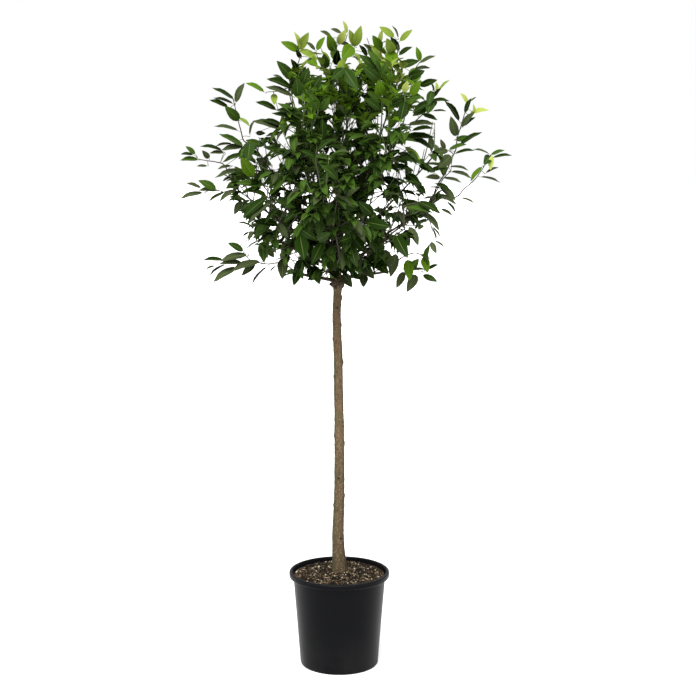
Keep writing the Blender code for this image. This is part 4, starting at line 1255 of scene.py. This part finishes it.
def stem_radius(height):
    """The trunk's radius: an even taper, the flare at its foot and the swollen head."""
    foot, tip = TRUNK_LOW.z, TRUNK_HIGH.z
    if height < HEAD_HEIGHT:
        t = (height - foot) / (HEAD_HEIGHT - foot)
        radius = FOOT_STEM_RADIUS + (HEAD_STEM_RADIUS - FOOT_STEM_RADIUS) * t
    else:
        t = (height - HEAD_HEIGHT) / (tip - HEAD_HEIGHT)
        radius = HEAD_STEM_RADIUS + (TIP_STEM_RADIUS - HEAD_STEM_RADIUS) * t
    radius += FLARE * math.exp(-(height - foot) / FLARE_HEIGHT)
    return radius + HEAD_SWELL * bell(height - HEAD_HEIGHT, HEAD_SWELL_HEIGHT)


def scar_rise(height, azimuth, radius):
    """How far the scars of cut shoots stand out here, and how dark they are. Each has a dent in it."""
    rise, dark = 0.0, 0.0
    for scar in SCARS:
        away = height - scar.height
        if abs(away) > SCAR_LIMIT * scar.spread:
            continue
        turn = (azimuth - math.radians(scar.azimuth) + math.pi) % math.tau - math.pi
        apart = math.hypot(away, turn * radius)
        dent = SCAR_DENT_DEPTH * bell(apart, scar.spread * SCAR_DENT)
        rise += scar.rise * SCAR_RISE * (bell(apart, scar.spread * SCAR_RING) - dent)
        dark += bell(apart, scar.spread * SCAR_STAIN)
    return rise, dark


def bark_rise(place, azimuth, relief):
    """The bark's own relief: long ridges, cross wrinkles and fine grain."""
    around, upward, ridge_height = RIDGES
    ridges = noise.noise(Vector((math.cos(azimuth) * around, math.sin(azimuth) * around, place.z * upward)))
    across, upward, wrinkle_height = WRINKLES
    wrinkles = noise.noise(Vector((place.x * across, place.y * across, place.z * upward)))
    grain = noise.noise(place * BARK_GRAIN[0])
    return relief * (ridges * ridge_height + wrinkles * wrinkle_height + grain * BARK_GRAIN[1])


class CHERRY_OT_trunk(bpy.types.Operator):
    """Make the trunk with the relief of its bark, its scars and its swollen head"""

    bl_idname = "cherry.trunk"
    bl_label = "Trunk"

    def execute(self, context):
        settings = context.scene.cherry_bark
        deselect_all()
        bpy.ops.mesh.primitive_cylinder_add(vertices=TRUNK_SIDES, radius=1.0, depth=2.0, end_fill_type="NGON")
        trunk = bpy.context.object
        for cuts in TRUNK_CUTS:
            self.cut_upright_edges(trunk, cuts)
        foot, tip = TRUNK_LOW.z, TRUNK_HIGH.z
        turns = trunk.data.attributes.new("turn", "FLOAT", "POINT")
        scars = trunk.data.attributes.new("scar", "FLOAT", "POINT")
        for vertex in trunk.data.vertices:
            height = foot + (tip - foot) * (vertex.co.z + 1.0) / 2.0
            azimuth = math.atan2(vertex.co.y, vertex.co.x)
            radius = stem_radius(height)
            middle = stem_middle(height)
            outward = Vector((math.cos(azimuth), math.sin(azimuth), 0.0))
            rough = bark_rise(middle + outward * radius, azimuth, settings.relief)
            flutes = FLUTE_DEPTH * math.exp(-(height - foot) / FLUTE_HEIGHT)
            flutes *= math.sin(azimuth * FLUTES + FLUTE_TURN)
            rise, dark = scar_rise(height, azimuth, radius)
            lumps = noise.noise(outward * COLLAR_GRAIN[0] + UP * height * COLLAR_GRAIN[1])
            lumps *= COLLAR_LUMPS * bell(height - HEAD_HEIGHT, HEAD_SWELL_HEIGHT)
            vertex.co = middle + outward * (radius + rough + flutes + rise + lumps)
            turns.data[vertex.index].value = outward.x
            scars.data[vertex.index].value = min(dark, 1.0)
        trunk.data.update()
        material = bark_material(settings, "bark", TRUNK_SHADE)
        finish_piece(trunk, "trunk_bark", [material], ["trunk"], angle=BARK_ANGLE)
        return {"FINISHED"}

    def cut_upright_edges(self, trunk, cuts):
        """Cuts every upright edge of the cylinder, which adds that many rings."""
        bpy.ops.object.mode_set(mode="EDIT")
        bpy.ops.mesh.select_mode(type="EDGE")
        bpy.ops.mesh.select_all(action="DESELECT")
        bpy.ops.object.mode_set(mode="OBJECT")
        vertices = trunk.data.vertices
        for edge in trunk.data.edges:
            a, b = (vertices[i].co for i in edge.vertices)
            edge.select = abs(a.z - b.z) > TINY and (a.xy - b.xy).length < TINY
        bpy.ops.object.mode_set(mode="EDIT")
        bpy.ops.mesh.subdivide(number_cuts=cuts)
        bpy.ops.object.mode_set(mode="OBJECT")


def bough_curve(index):
    """The three points of the curve from the trunk's middle to a bough's outermost leaf."""
    bough = BOUGHS[index]
    rank = index / (len(BOUGHS) - 2)
    height = LOWEST_BOUGH + (HIGHEST_BOUGH - LOWEST_BOUGH) * rank
    azimuth = math.radians(bough.azimuth)
    outward = Vector((math.cos(azimuth), math.sin(azimuth), 0.0))
    if bough.name == "leader":
        height = TRUNK_HIGH.z - LEADER_SEAT
    root = stem_middle(height)
    tip = outward * bough.reach + UP * bough.tip_height
    out = 0.0 if bough.name == "leader" else OUTWARD_SWEEP * bough.reach + ROOT_SWEEP
    bend = root + outward * out + UP * (UPWARD_SWEEP * (tip.z - root.z) + ARCH)
    return root, bend, tip


def along(curve, t):
    root, bend, tip = curve
    return root * (1 - t) ** 2 + bend * (2 * t * (1 - t)) + tip * t ** 2


def heading(curve, t):
    root, bend, tip = curve
    return ((bend - root) * (1 - t) + (tip - bend) * t).normalized()


def body_reach(height):
    """How far the crown's body reaches to the left and to the right at a height."""
    for low, high in zip(BODY_OUTLINE, BODY_OUTLINE[1:]):
        if low.height <= height <= high.height:
            t = (height - low.height) / (high.height - low.height)
            return low.left + (high.left - low.left) * t, low.right + (high.right - low.right) * t
    return 0.0, 0.0


def in_body(point):
    """Whether the front view has a point inside the outline of the crown's body."""
    nearer = CAMERA_PLACE.y / (CAMERA_PLACE.y - point.y)
    left, right = body_reach(CAMERA_PLACE.z + (point.z - CAMERA_PLACE.z) * nearer)
    return -left < point.x * nearer < right


def in_gap(start, end, gaps=SKY_GAPS):
    """Whether the front view shows a stretch across one of the gaps with sky behind."""
    first, last = pixel_of(start), pixel_of(end)
    way = last - first
    middle = (first + last) / 2
    for gap in gaps:
        centre = Vector((gap.x, gap.y))
        if (centre - middle).length < way.length / 2 + gap.radius + GAP_MARGIN:
            share = clamp((centre - first).dot(way) / max(way.length_squared, TINY))
            if (centre - first - way * share).length < gap.radius + GAP_MARGIN:
                return True
    return False


def stem_end(index, leaf_length):
    """Where a bough's stem ends: at its last spray, or in the crown's body a leaf short of its tip."""
    curve = bough_curve(index)
    shares = [spray.share for spray in SPRAYS if spray.bough == BOUGH_NAMES[index]]
    end = max(shares) if shares else 1.0 - LAST_LEAF * leaf_length / curve_span(curve)
    while not shares and end > SHORTEST_STEM and not in_body(along(curve, end)):
        end -= STEM_CUT
    return end


def curve_span(curve):
    return (curve[2] - curve[0]).length


def limb_radius(t, share, end):
    """A limb's radius along its curve: the bough's taper, then the stem's."""
    if t < share:
        return BOUGH_ROOT_RADIUS + (BOUGH_TIP_RADIUS - BOUGH_ROOT_RADIUS) * t / share
    return BOUGH_TIP_RADIUS + (STEM_TIP_RADIUS - BOUGH_TIP_RADIUS) * (t - share) / (end - share)


class CHERRY_OT_boughs(bpy.types.Operator):
    """Make the boughs, each carried on as the stem of its foliage"""

    bl_idname = "cherry.boughs"
    bl_label = "Boughs"

    def execute(self, context):
        settings = context.scene.cherry_bark
        leaf = context.scene.cherry_leaf
        limbs = []
        for index in range(len(BOUGHS)):
            curve = bough_curve(index)
            span = curve_span(curve)
            end = stem_end(index, leaf.length + leaf.stalk)
            steps = [end * k / (LIMB_POINTS - 1) for k in range(LIMB_POINTS)]
            points = [along(curve, t) for t in steps]
            limbs.append((points, [limb_radius(t, BOUGH_LENGTH / span, end) for t in steps]))
        made = limbs_mesh("boughs_bark", limbs, LIMB_SIDES)
        for vertex in made.data.vertices:
            place = vertex.co
            grain = noise.noise(place * BOUGH_GRAIN[0])
            vertex.co = place + vertex.normal * settings.relief * BOUGH_GRAIN[1] * grain
        names = ["bough_" + name for name in BOUGH_NAMES]
        # BOUGH_SHADE darkens this bark: painted shade inside the crown
        material = bark_material(settings, "bark_of_boughs", BOUGH_SHADE)
        finish_piece(made, "boughs_bark", [material], names, angle=BARK_ANGLE)
        return {"FINISHED"}


# ---------------------------------------------------------------- twigs and leaves

Twig = namedtuple("Twig", "points radii green")
Leaf = namedtuple("Leaf", "place pointing facing size tint bend fold twist")


def any_way(rng):
    return Vector((rng.uniform(-1, 1), rng.uniform(-1, 1), rng.uniform(-1, 1)))


def frame_from(direction, roll_axis):
    """Axes with X along the direction and Z as near to roll_axis as it can be."""
    x = direction.normalized()
    y = roll_axis.cross(x)
    if y.length < PARALLEL:
        y = Vector((0.0, 1.0, 0.0)).cross(x)
    y.normalize()
    z = x.cross(y)
    return Matrix((x, y, z)).transposed()


def tilted(direction, spread, turn):
    """A direction at an angle to another, turned about it."""
    axes = frame_from(direction, UP)
    side = axes.col[1] * math.cos(turn) + axes.col[2] * math.sin(turn)
    return (direction.normalized() * math.cos(spread) + side * math.sin(spread)).normalized()


def point_on(points, share):
    """The place and heading at a share of the way along a bent twig."""
    run = share * (len(points) - 1)
    k = min(int(run), len(points) - 2)
    step = points[k + 1] - points[k]
    return points[k] + step * (run - k), step.normalized()


def tapered(radii, count):
    """Radii of a twig's points, from the first to the last."""
    return [radii[0] + (radii[1] - radii[0]) * k / (count - 1) for k in range(count)]


def outwardness(place):
    """0 in the middle of the crown, 1 at its outside."""
    return clamp((place - CROWN_MIDDLE).length / CROWN_RADIUS)


class Crown:
    """Twigs and leaves, grown from the boughs' curves by a seeded rule."""

    def __init__(self, settings):
        self.rng = random.Random(SEED)
        self.blade = settings.length
        self.leaf_length = settings.length + settings.stalk
        self.slimness = settings.width / settings.length
        self.stalk = settings.stalk
        self.twigs = []
        self.leaves = []
        for index in range(len(BOUGHS)):
            self.dress_bough(index)
        self.leaves = [leaf for leaf in self.leaves if not in_gap(leaf.place, self.tip(leaf), CUT_BACK)]
        for spray in SPRAYS:
            self.add_spray(spray)

    def dress_bough(self, index):
        curve = bough_curve(index)
        span = curve_span(curve)
        self.reach = (curve[2] - CROWN_MIDDLE).length + REACH_MARGIN
        start = INNER_TWIGS_FROM / span
        end = stem_end(index, self.leaf_length)
        spacing, longer = THICK_BOUGHS.get(BOUGHS[index].name, (TWIG_SPACING, 1.0))
        count = round((end - start) * span / spacing)
        turn = self.rng.uniform(0.0, math.tau)
        for k in range(count):
            t = start + (end - start) * (k + FIRST_STEP) / count
            turn += GOLDEN_ANGLE
            direction = tilted(heading(curve, t), TWIG_SPREAD * (1.0 - TWIG_CLOSING * k / count), turn)
            length = TWIG_LENGTH * longer * (1.0 - TWIG_SHORTENING * k / count)
            length *= self.rng.uniform(*TWIG_LENGTH_RANGE)
            self.grow_twig(along(curve, t), direction, length)
        stem = [along(curve, end * k / (LIMB_POINTS - 1)) for k in range(LIMB_POINTS)]
        self.dress(stem, STEM_LEAVES_FROM, span * end)
        self.grow_uprights(BOUGHS[index].name, curve, end)

    def grow_uprights(self, name, curve, end):
        """Long shoots that rise from a bough and fill the crown's top."""
        self.reach = UPRIGHT_REACH
        count = UPRIGHTS.get(name, UPRIGHTS_ELSEWHERE)
        low, high = UPRIGHT_SHARES
        for k in range(count):
            t = end * (low + (high - low) * (k + 0.5) / count)
            outward = (curve[2] - curve[0]) * LEVEL
            lean = outward.normalized() * UPRIGHT_LEAN * self.rng.uniform(*UPRIGHT_LEAN_RANGE)
            if name == "leader":
                t *= LEADER_LOWER
                turn = k * GOLDEN_ANGLE
                lean = Vector((LEADER_FLATTENING * math.cos(turn), math.sin(turn), 0.0)) * LEADER_LEAN
            direction = (UP + lean + any_way(self.rng) * UPRIGHT_WANDER).normalized()
            self.grow_twig(along(curve, t), direction, self.rng.uniform(*UPRIGHT_LENGTH))

    def shoot(self, start, direction, length, count):
        """Points of a shoot that wavers a little and bends up towards the light."""
        points = [start]
        for _ in range(count - 1):
            direction = direction + UP * TWIG_LIFT / count + any_way(self.rng) * TWIG_WAVER
            direction.normalize()
            points.append(points[-1] + direction * length / (count - 1))
        return points

    def inside(self, point):
        return point.z > CROWN_FLOOR and in_body(point) and (point - CROWN_MIDDLE).length < self.reach

    def grow_twig(self, start, direction, length):
        points = self.shoot(start, direction, length, TWIG_POINTS)
        while len(points) > FEWEST_POINTS and not self.inside(points[-1]):
            points.pop()
        if not self.inside(points[-1]):
            return
        run = length * (len(points) - 1) / (TWIG_POINTS - 1)
        self.add_twig(points, TWIG_RADII)
        self.dress(points, LEAVES_FROM, run)
        if run < SPURS_FROM_RUN:
            return
        place, along_twig = point_on(points, SPUR_AT)
        way = tilted(along_twig, SPUR_SPREAD, self.rng.uniform(0.0, math.tau))
        size = SPUR_LENGTH * self.rng.uniform(*SPUR_LENGTH_RANGE)
        spur = self.shoot(place, way, size, SPUR_POINTS)
        if self.inside(spur[-1]):
            self.add_twig(spur, SPUR_RADII)
            self.dress(spur, SPUR_LEAVES_FROM, size)

    def add_twig(self, points, radii):
        green = self.rng.random() < clamp((points[-1].z - GREEN_FROM) / GREEN_RISE, *GREEN_SHARES)
        self.twigs.append(Twig(points, tapered(radii, len(points)), green))

    def dress(self, points, start, run):
        """Leaves turn about a shoot at even steps, with a cluster at its tip."""
        spray = self.spray_tone(points[-1])
        count = max(2, round(run * (1.0 - start) / LEAF_SPACING))
        turn = self.rng.uniform(0.0, math.tau)
        for k in range(count):
            share = start + (1.0 - start) * (k + self.rng.uniform(-LEAF_JITTER, LEAF_JITTER)) / count
            place, direction = point_on(points, clamp(share, 0.0, LAST_SIDE_LEAF))
            turn += GOLDEN_ANGLE
            level = 1.0 - LEVELLING * (1.0 - abs(direction.z))
            for attempt in range(LEAF_TRIES):
                way = tilted(direction, LEAF_SPREAD, turn + attempt * GOLDEN_ANGLE)
                way.z *= level
                if self.grow_leaf(place, way, spray + SIDE_LEAF_SHADE, 1.0 - RETRY_SHRINKING * attempt):
                    break
        for k in range(TIP_LEAVES):
            share = 1.0 - TIP_STEP * (k + FIRST_STEP) / run
            place, direction = point_on(points, clamp(share))
            turn += GOLDEN_ANGLE
            spread = TIP_SPREAD * (TIP_OPENING[0] + TIP_OPENING[1] * k / TIP_LEAVES)
            for attempt in range(LEAF_TRIES):
                way = tilted(direction, spread + TIP_RETRY_SPREAD * attempt, turn + attempt * GOLDEN_ANGLE)
                if self.grow_leaf(place, way, spray, TIP_SIZES[0] + TIP_SIZES[1] * k / TIP_LEAVES):
                    break

    def tip(self, leaf):
        return leaf.place + leaf.pointing * self.leaf_length * leaf.size

    def spray_tone(self, place):
        """How dark a spray is, from its height and from how far out it stands."""
        height = clamp((place.z - CROWN_FLOOR) / (CAD_HIGH.z - CROWN_FLOOR))
        tone = INNER_TONE - TONE_BY_HEIGHT * height ** TONE_HEIGHT_POWER
        return tone - TONE_BY_DISTANCE * outwardness(place) ** 3 + self.rng.gauss(0.0, SPRAY_TONE_WANDER)

    def grow_leaf(self, place, direction, tone, scale):
        """Add a leaf, and tell whether there was room for it."""
        rng = self.rng
        outward = (place - CROWN_MIDDLE).normalized()
        high = clamp((place.z - SAG_FROM) / SAG_RISE)
        wander = any_way(rng)
        sag = UP * (SAG - SAG_LOSS * high) * rng.uniform(*SAG_RANGE)
        aside = (outward * LEVEL) * POINTING_OUTWARD
        pointing = (direction + aside + wander * POINTING_WANDER - sag).normalized()
        turned_out = OUTWARD_FACING - MIDDLE_FLATTER * bell(place.z - MIDDLE_HEIGHT, MIDDLE_SPREAD)
        facing = (UP + outward * turned_out + any_way(rng) * FACING_WANDER).normalized()
        size = rng.uniform(*LEAF_SIZES) * scale
        tip = place + pointing * self.leaf_length * size
        from_trunk = (place + tip) / 2 - stem_middle(min(place.z, TRUNK_HIGH.z))
        if not self.inside(tip) or (place.z < TRUNK_HIGH.z and from_trunk.xy.length < TRUNK_CLEAR):
            return False
        if in_gap(place + pointing * self.stalk, tip):
            return False
        brightest = BRIGHTEST + sum(place.z < height for height in DULLER_BELOW)
        lift = TONE_LIFT + OUTER_LIFT * outwardness(place) ** 3
        tint = int(clamp(round(tone - lift + rng.gauss(0.0, LEAF_TONE_WANDER)), brightest, DARKEST))
        if tone > MOSS_FROM_TONE and rng.random() < MOSS_SHARE:
            tint = MOSS
        bend = rng.uniform(*LEAF_BENDS) + LOW_LEAF_BEND * (1.0 - high)
        fold = rng.uniform(*LEAF_FOLDS)
        twist = rng.gauss(0.0, LEAF_TWIST)
        self.leaves.append(Leaf(place, pointing, facing, size, tint, bend, fold, twist))
        return True

    def add_spray(self, spray):
        """A listed spray: its stem leaves a bough and runs along the path, with its own leaves."""
        curve = bough_curve(BOUGH_NAMES.index(spray.bough))
        start = along(curve, spray.share)
        path = [start]
        for k, (x, y) in enumerate(spray.path):
            depth = start.y + (spray.depth - start.y) * (k + 1) / len(spray.path)
            path.append(seen_at(x, y, depth))
        stem = smooth_path(path)
        self.twigs.append(Twig(stem, tapered(SPRAY_RADII, len(stem)), stem[-1].z > GREEN_SPRAYS_FROM))
        for row in spray.leaves:
            self.add_spray_leaf(SprayLeaf(*row), stem)

    def add_spray_leaf(self, leaf, stem):
        rng = self.rng
        flat = [seen_at(leaf.base_x, leaf.base_y, point.y) for point in stem]
        nearest = min(range(len(stem)), key=lambda k: (flat[k] - stem[k]).length)
        depth = stem[nearest].y + rng.uniform(-SPRAY_DEPTH_WANDER, SPRAY_DEPTH_WANDER)
        base = seen_at(leaf.base_x, leaf.base_y, depth)
        tip = seen_at(leaf.tip_x, leaf.tip_y, depth)
        wide = (leaf.wide * SPRAY_WIDENING + SPRAY_EDGE) * pixel_size(depth)
        length = max((tip - base).length * FOREGROUND_TURN, wide / self.slimness)
        nearer = math.sqrt(max(0.0, length ** 2 - (tip - base).length ** 2))
        pointing = (tip - base - Vector((0.0, nearer, 0.0))).normalized()
        towards = (CAMERA_PLACE - base).normalized()
        towards = (towards - pointing * towards.dot(pointing)).normalized()
        edge = pointing.cross(towards)
        if edge.z < 0.0:
            edge = -edge
        share = clamp(wide / (self.slimness * length), *SPRAY_SHARES)
        facing = towards * share + edge * math.sqrt(1.0 - share ** 2)
        bend = SPRAY_LEAF_BEND * rng.uniform(*SPRAY_BEND_RANGE)
        size = length / self.blade
        lifted = (pointing + facing * math.sin(bend / 2)).normalized()
        place = base - lifted * self.stalk * size
        tint = TINT_NAMES.index(leaf.tint)
        self.leaves.append(Leaf(place, lifted, facing, size, tint, bend, rng.uniform(*SPRAY_LEAF_FOLDS), 0.0))
        joint = stem[nearest]
        if (joint - place).length > SPRAY_STALK_FROM:
            middle = (joint + place) / 2 + UP * SPRAY_STALK_BOW * (joint - place).length
            thin = [SPRAY_STALK_RADIUS] * 3
            self.twigs.append(Twig([joint, middle, place], thin, joint.z > GREEN_STALKS_FROM))


def smooth_path(path, steps=4):
    """Points on a smooth curve through all the given ones."""
    ends = [path[0] * 2 - path[1], *path, path[-1] * 2 - path[-2]]
    points = []
    for a, b, c, d in zip(ends, ends[1:], ends[2:], ends[3:]):
        slope = c - a
        bow = a * 2 - b * 5 + c * 4 - d
        swing = b * 3 - a - c * 3 + d
        for k in range(steps):
            t = k / steps
            points.append((b * 2 + slope * t + bow * t ** 2 + swing * t ** 3) / 2)
    return points + [path[-1]]


def blade_width(t):
    """The share of the leaf's full width at a share of its length: pointed, widest below the middle."""
    widest = BASE_POWER / (BASE_POWER + TIP_POWER)
    shape = (t / widest) ** BASE_POWER * ((1.0 - t) / (1.0 - widest)) ** TIP_POWER
    return max(shape, NARROWEST)


def leaf_template():
    """Faces and slots of one leaf, and for each point its place along, across, under and on the stalk."""
    points, faces, slots = [], [], []
    for t in ROWS:
        points += [(t, s, 0.0, -1.0) for s in TOP_COLUMNS]
        points += [(t, s, 1.0 - abs(s), -1.0) for s in UNDER_COLUMNS]
    top = list(range(len(TOP_COLUMNS)))
    wide = len(TOP_COLUMNS) + len(UNDER_COLUMNS)
    beneath = list(range(len(TOP_COLUMNS), wide))
    under = [top[0], *beneath, top[-1]]  # a row's underside shares the margins with its top
    for r in range(len(ROWS) - 1):
        a, b = r * wide, (r + 1) * wide
        for c in top[:-1]:
            faces.append((a + c, b + c, b + c + 1, a + c + 1))
            slots.append(RIB if TOP_COLUMNS[c] == -TOP_COLUMNS[c + 1] else BLADE)
        for left, right in zip(under, under[1:]):
            faces.append((a + left, a + right, b + right, b + left))
            slots.append(UNDER)
    rim = [*top, *reversed(beneath)]
    last = (len(ROWS) - 1) * wide
    faces.append(rim)
    faces.append([last + c for c in reversed(rim)])
    slots += [RIB, RIB]
    stalk = len(points)
    turns = [math.tau * c / STALK_SIDES for c in range(STALK_SIDES)]
    for step in STALK_STEPS:
        points += [(0.0, math.cos(turn), math.sin(turn), step) for turn in turns]
    for k in range(len(STALK_STEPS) - 1):
        a = stalk + STALK_SIDES * k
        b = a + STALK_SIDES
        for c in range(STALK_SIDES):
            d = (c + 1) % STALK_SIDES
            faces.append((a + c, a + d, b + d, b + c))
            slots.append(RIB)
    return np.array(points), faces, slots


def leaves_piece(name, leaves, settings):
    """Every leaf of one tint as one mesh, each bent, folded and twisted its own way."""
    template, faces, slots = leaf_template()
    along_leaf, across, beneath, on_stalk = (template[:, k][None, :] for k in range(4))
    own = [(leaf.size, leaf.bend, leaf.fold, leaf.twist) for leaf in leaves]
    size, bend, fold, twist = (column[:, None] for column in np.array(own).T)
    length = settings.length * size
    half = settings.width * size / 2 * np.array([blade_width(t) for t in template[:, 0]])[None, :]
    wave = np.sin(along_leaf * WAVES_ALONG + twist * WAVE_SHIFT) * MARGIN_WAVE * np.abs(across) ** 2
    swell = BLADE_SWELL * np.sin(np.pi * np.abs(across)) * np.sin(np.pi * along_leaf)
    y = half * across
    z = fold * np.abs(y) + (wave + swell) * size - beneath * BLADE_DEPTH
    turn = twist * along_leaf
    y, z = y * np.cos(turn) - z * np.sin(turn), y * np.sin(turn) + z * np.cos(turn)
    angle = bend * along_leaf
    middle_x = length * np.sin(angle) / bend
    middle_z = -length * (1.0 - np.cos(angle)) / bend
    x = middle_x + z * np.sin(angle)
    z = middle_z + z * np.cos(angle)
    stalk = on_stalk >= 0.0
    stalk_length = settings.stalk * size
    x = np.where(stalk, (on_stalk - 1.0) * stalk_length, x)
    y = np.where(stalk, across * STALK_RADIUS, y)
    z = np.where(stalk, beneath * STALK_RADIUS + STALK_BOW * np.sin(np.pi * on_stalk), z)
    local = np.stack([x + stalk_length, y, z], axis=-1)
    axes = np.array([frame_from(leaf.pointing, leaf.facing) for leaf in leaves])
    places = np.array([leaf.place for leaf in leaves])
    points = np.einsum("nij,nvj->nvi", axes, local) + places[:, None, :]
    count = len(template)
    joined = [tuple(k * count + v for v in face) for k in range(len(leaves)) for face in faces]
    return mesh_piece(name, points.reshape(-1, 3), joined, slots * len(leaves))


class CHERRY_OT_twigs(bpy.types.Operator):
    """Grow the fine twigs, older ones brown and this year's green"""

    bl_idname = "cherry.twigs"
    bl_label = "Twigs"

    def execute(self, context):
        settings = context.scene.cherry_leaf
        crown = Crown(settings)
        kinds = (
            ("twigs_brown", False, settings.twig_bark, 0.7),
            ("twigs_green", True, settings.twig_green, 0.5),
        )
        for name, green, colour, roughness in kinds:
            limbs = [(twig.points, twig.radii) for twig in crown.twigs if twig.green == green]
            made = limbs_mesh(name, limbs, TWIG_SIDES)
            finish_piece(made, name, [twig_material(name, colour, roughness)])
        return {"FINISHED"}


class CHERRY_OT_leaves(bpy.types.Operator):
    """Grow the leaves, one piece for each tint"""

    bl_idname = "cherry.leaves"
    bl_label = "Leaves"

    def execute(self, context):
        settings = context.scene.cherry_leaf
        crown = Crown(settings)
        masses = ["foliage_" + name for name in BOUGH_NAMES]
        for index, (tint, colour, roughness) in enumerate(TINTS):
            leaves = [leaf for leaf in crown.leaves if leaf.tint == index]
            made = leaves_piece("leaves_" + tint, leaves, settings)
            rib = blend_colour(colour, RIB_COLOUR, RIB_SHARE)
            under = blend_colour(colour, UNDERSIDE_COLOUR, UNDERSIDE_SHARE)
            materials = [
                plain_material("leaf_" + tint, colour, roughness, LEAF_SHEEN),
                plain_material("leaf_rib_" + tint, rib, RIB_ROUGHNESS, LEAF_SHEEN),
                plain_material("leaf_under_" + tint, under, UNDERSIDE_ROUGHNESS, LEAF_SHEEN),
            ]
            finish_piece(made, "leaves_" + tint, materials, masses, angle=50.0)
        print(f"crown: {len(crown.twigs)} twigs, {len(crown.leaves)} leaves")
        return {"FINISHED"}


# ---------------------------------------------------------------- stage


class CHERRY_OT_stage(bpy.types.Operator):
    """Make the pale floor, the soft studio light and the camera"""

    bl_idname = "cherry.stage"
    bl_label = "Floor, lights and camera"

    def execute(self, context):
        settings = context.scene.cherry_stage
        deselect_all()
        bpy.ops.mesh.primitive_plane_add(size=FLOOR_SIZE, location=(0.0, 0.0, -FLOOR_DROP))
        floor = context.object
        floor.name = "floor"
        floor.data.materials.append(plain_material("floor", settings.floor, 0.9, 0.1))
        self.set_world(context.scene, settings.daylight)
        bpy.ops.object.light_add(type="SUN", rotation=KEY_LIGHT_TURN)
        sun = context.object
        sun.name = "key_light"
        sun.data.energy = settings.key
        sun.data.angle = KEY_LIGHT_SPREAD
        self.add_camera(context.scene, settings)
        context.scene.view_settings.view_transform = "Standard"
        return {"FINISHED"}

    def set_world(self, scene, strength):
        world = bpy.data.worlds.new("studio")
        world.use_nodes = True
        background = world.node_tree.nodes["Background"]
        background.inputs["Color"].default_value = (1.0, 1.0, 1.0, 1.0)
        background.inputs["Strength"].default_value = strength
        scene.world = world

    def add_camera(self, scene, settings):
        bpy.ops.object.camera_add(
            location=(0.0, -settings.distance, settings.camera_height),
            rotation=(math.pi / 2 - settings.tilt, 0.0, 0.0),
        )
        camera = bpy.context.object
        camera.name = "camera"
        camera.data.lens = settings.lens
        camera.data.sensor_width = SENSOR_WIDTH
        camera.data.shift_x = CAMERA_SHIFT
        scene.camera = camera


# ---------------------------------------------------------------- panel and registration

STEPS = ("pot", "potting_mix", "litter", "trunk", "boughs", "twigs", "leaves", "stage")


class CHERRY_PT_sidebar(bpy.types.Panel):
    """The tree's settings and the steps that make it"""

    bl_idname = "CHERRY_PT_sidebar"
    bl_label = "Potted Standard Cherry"
    bl_space_type = "VIEW_3D"
    bl_region_type = "UI"
    bl_category = "Cherry"

    def draw(self, context):
        for name in SETTINGS:
            box = self.layout.box()
            group = getattr(context.scene, name)
            for field in group.bl_rna.properties:
                if field.identifier not in ("rna_type", "name"):
                    box.prop(group, field.identifier)
        for step in STEPS:
            self.layout.operator("cherry." + step)


SETTINGS = {
    "cherry_pot": PotSettings,
    "cherry_mix": MixSettings,
    "cherry_bark": BarkSettings,
    "cherry_leaf": LeafSettings,
    "cherry_stage": StageSettings,
}
CLASSES = (
    *SETTINGS.values(),
    CHERRY_OT_pot,
    CHERRY_OT_potting_mix,
    CHERRY_OT_litter,
    CHERRY_OT_trunk,
    CHERRY_OT_boughs,
    CHERRY_OT_twigs,
    CHERRY_OT_leaves,
    CHERRY_OT_stage,
    CHERRY_PT_sidebar,
)


def register():
    for kind in CLASSES:
        bpy.utils.register_class(kind)
    for name, kind in SETTINGS.items():
        setattr(bpy.types.Scene, name, PointerProperty(type=kind))


def unregister():
    for name in SETTINGS:
        delattr(bpy.types.Scene, name)
    for kind in reversed(CLASSES):
        bpy.utils.unregister_class(kind)


def main():
    register()
    for step in STEPS:
        getattr(bpy.ops.cherry, step)()


if __name__ == "__main__":
    main()
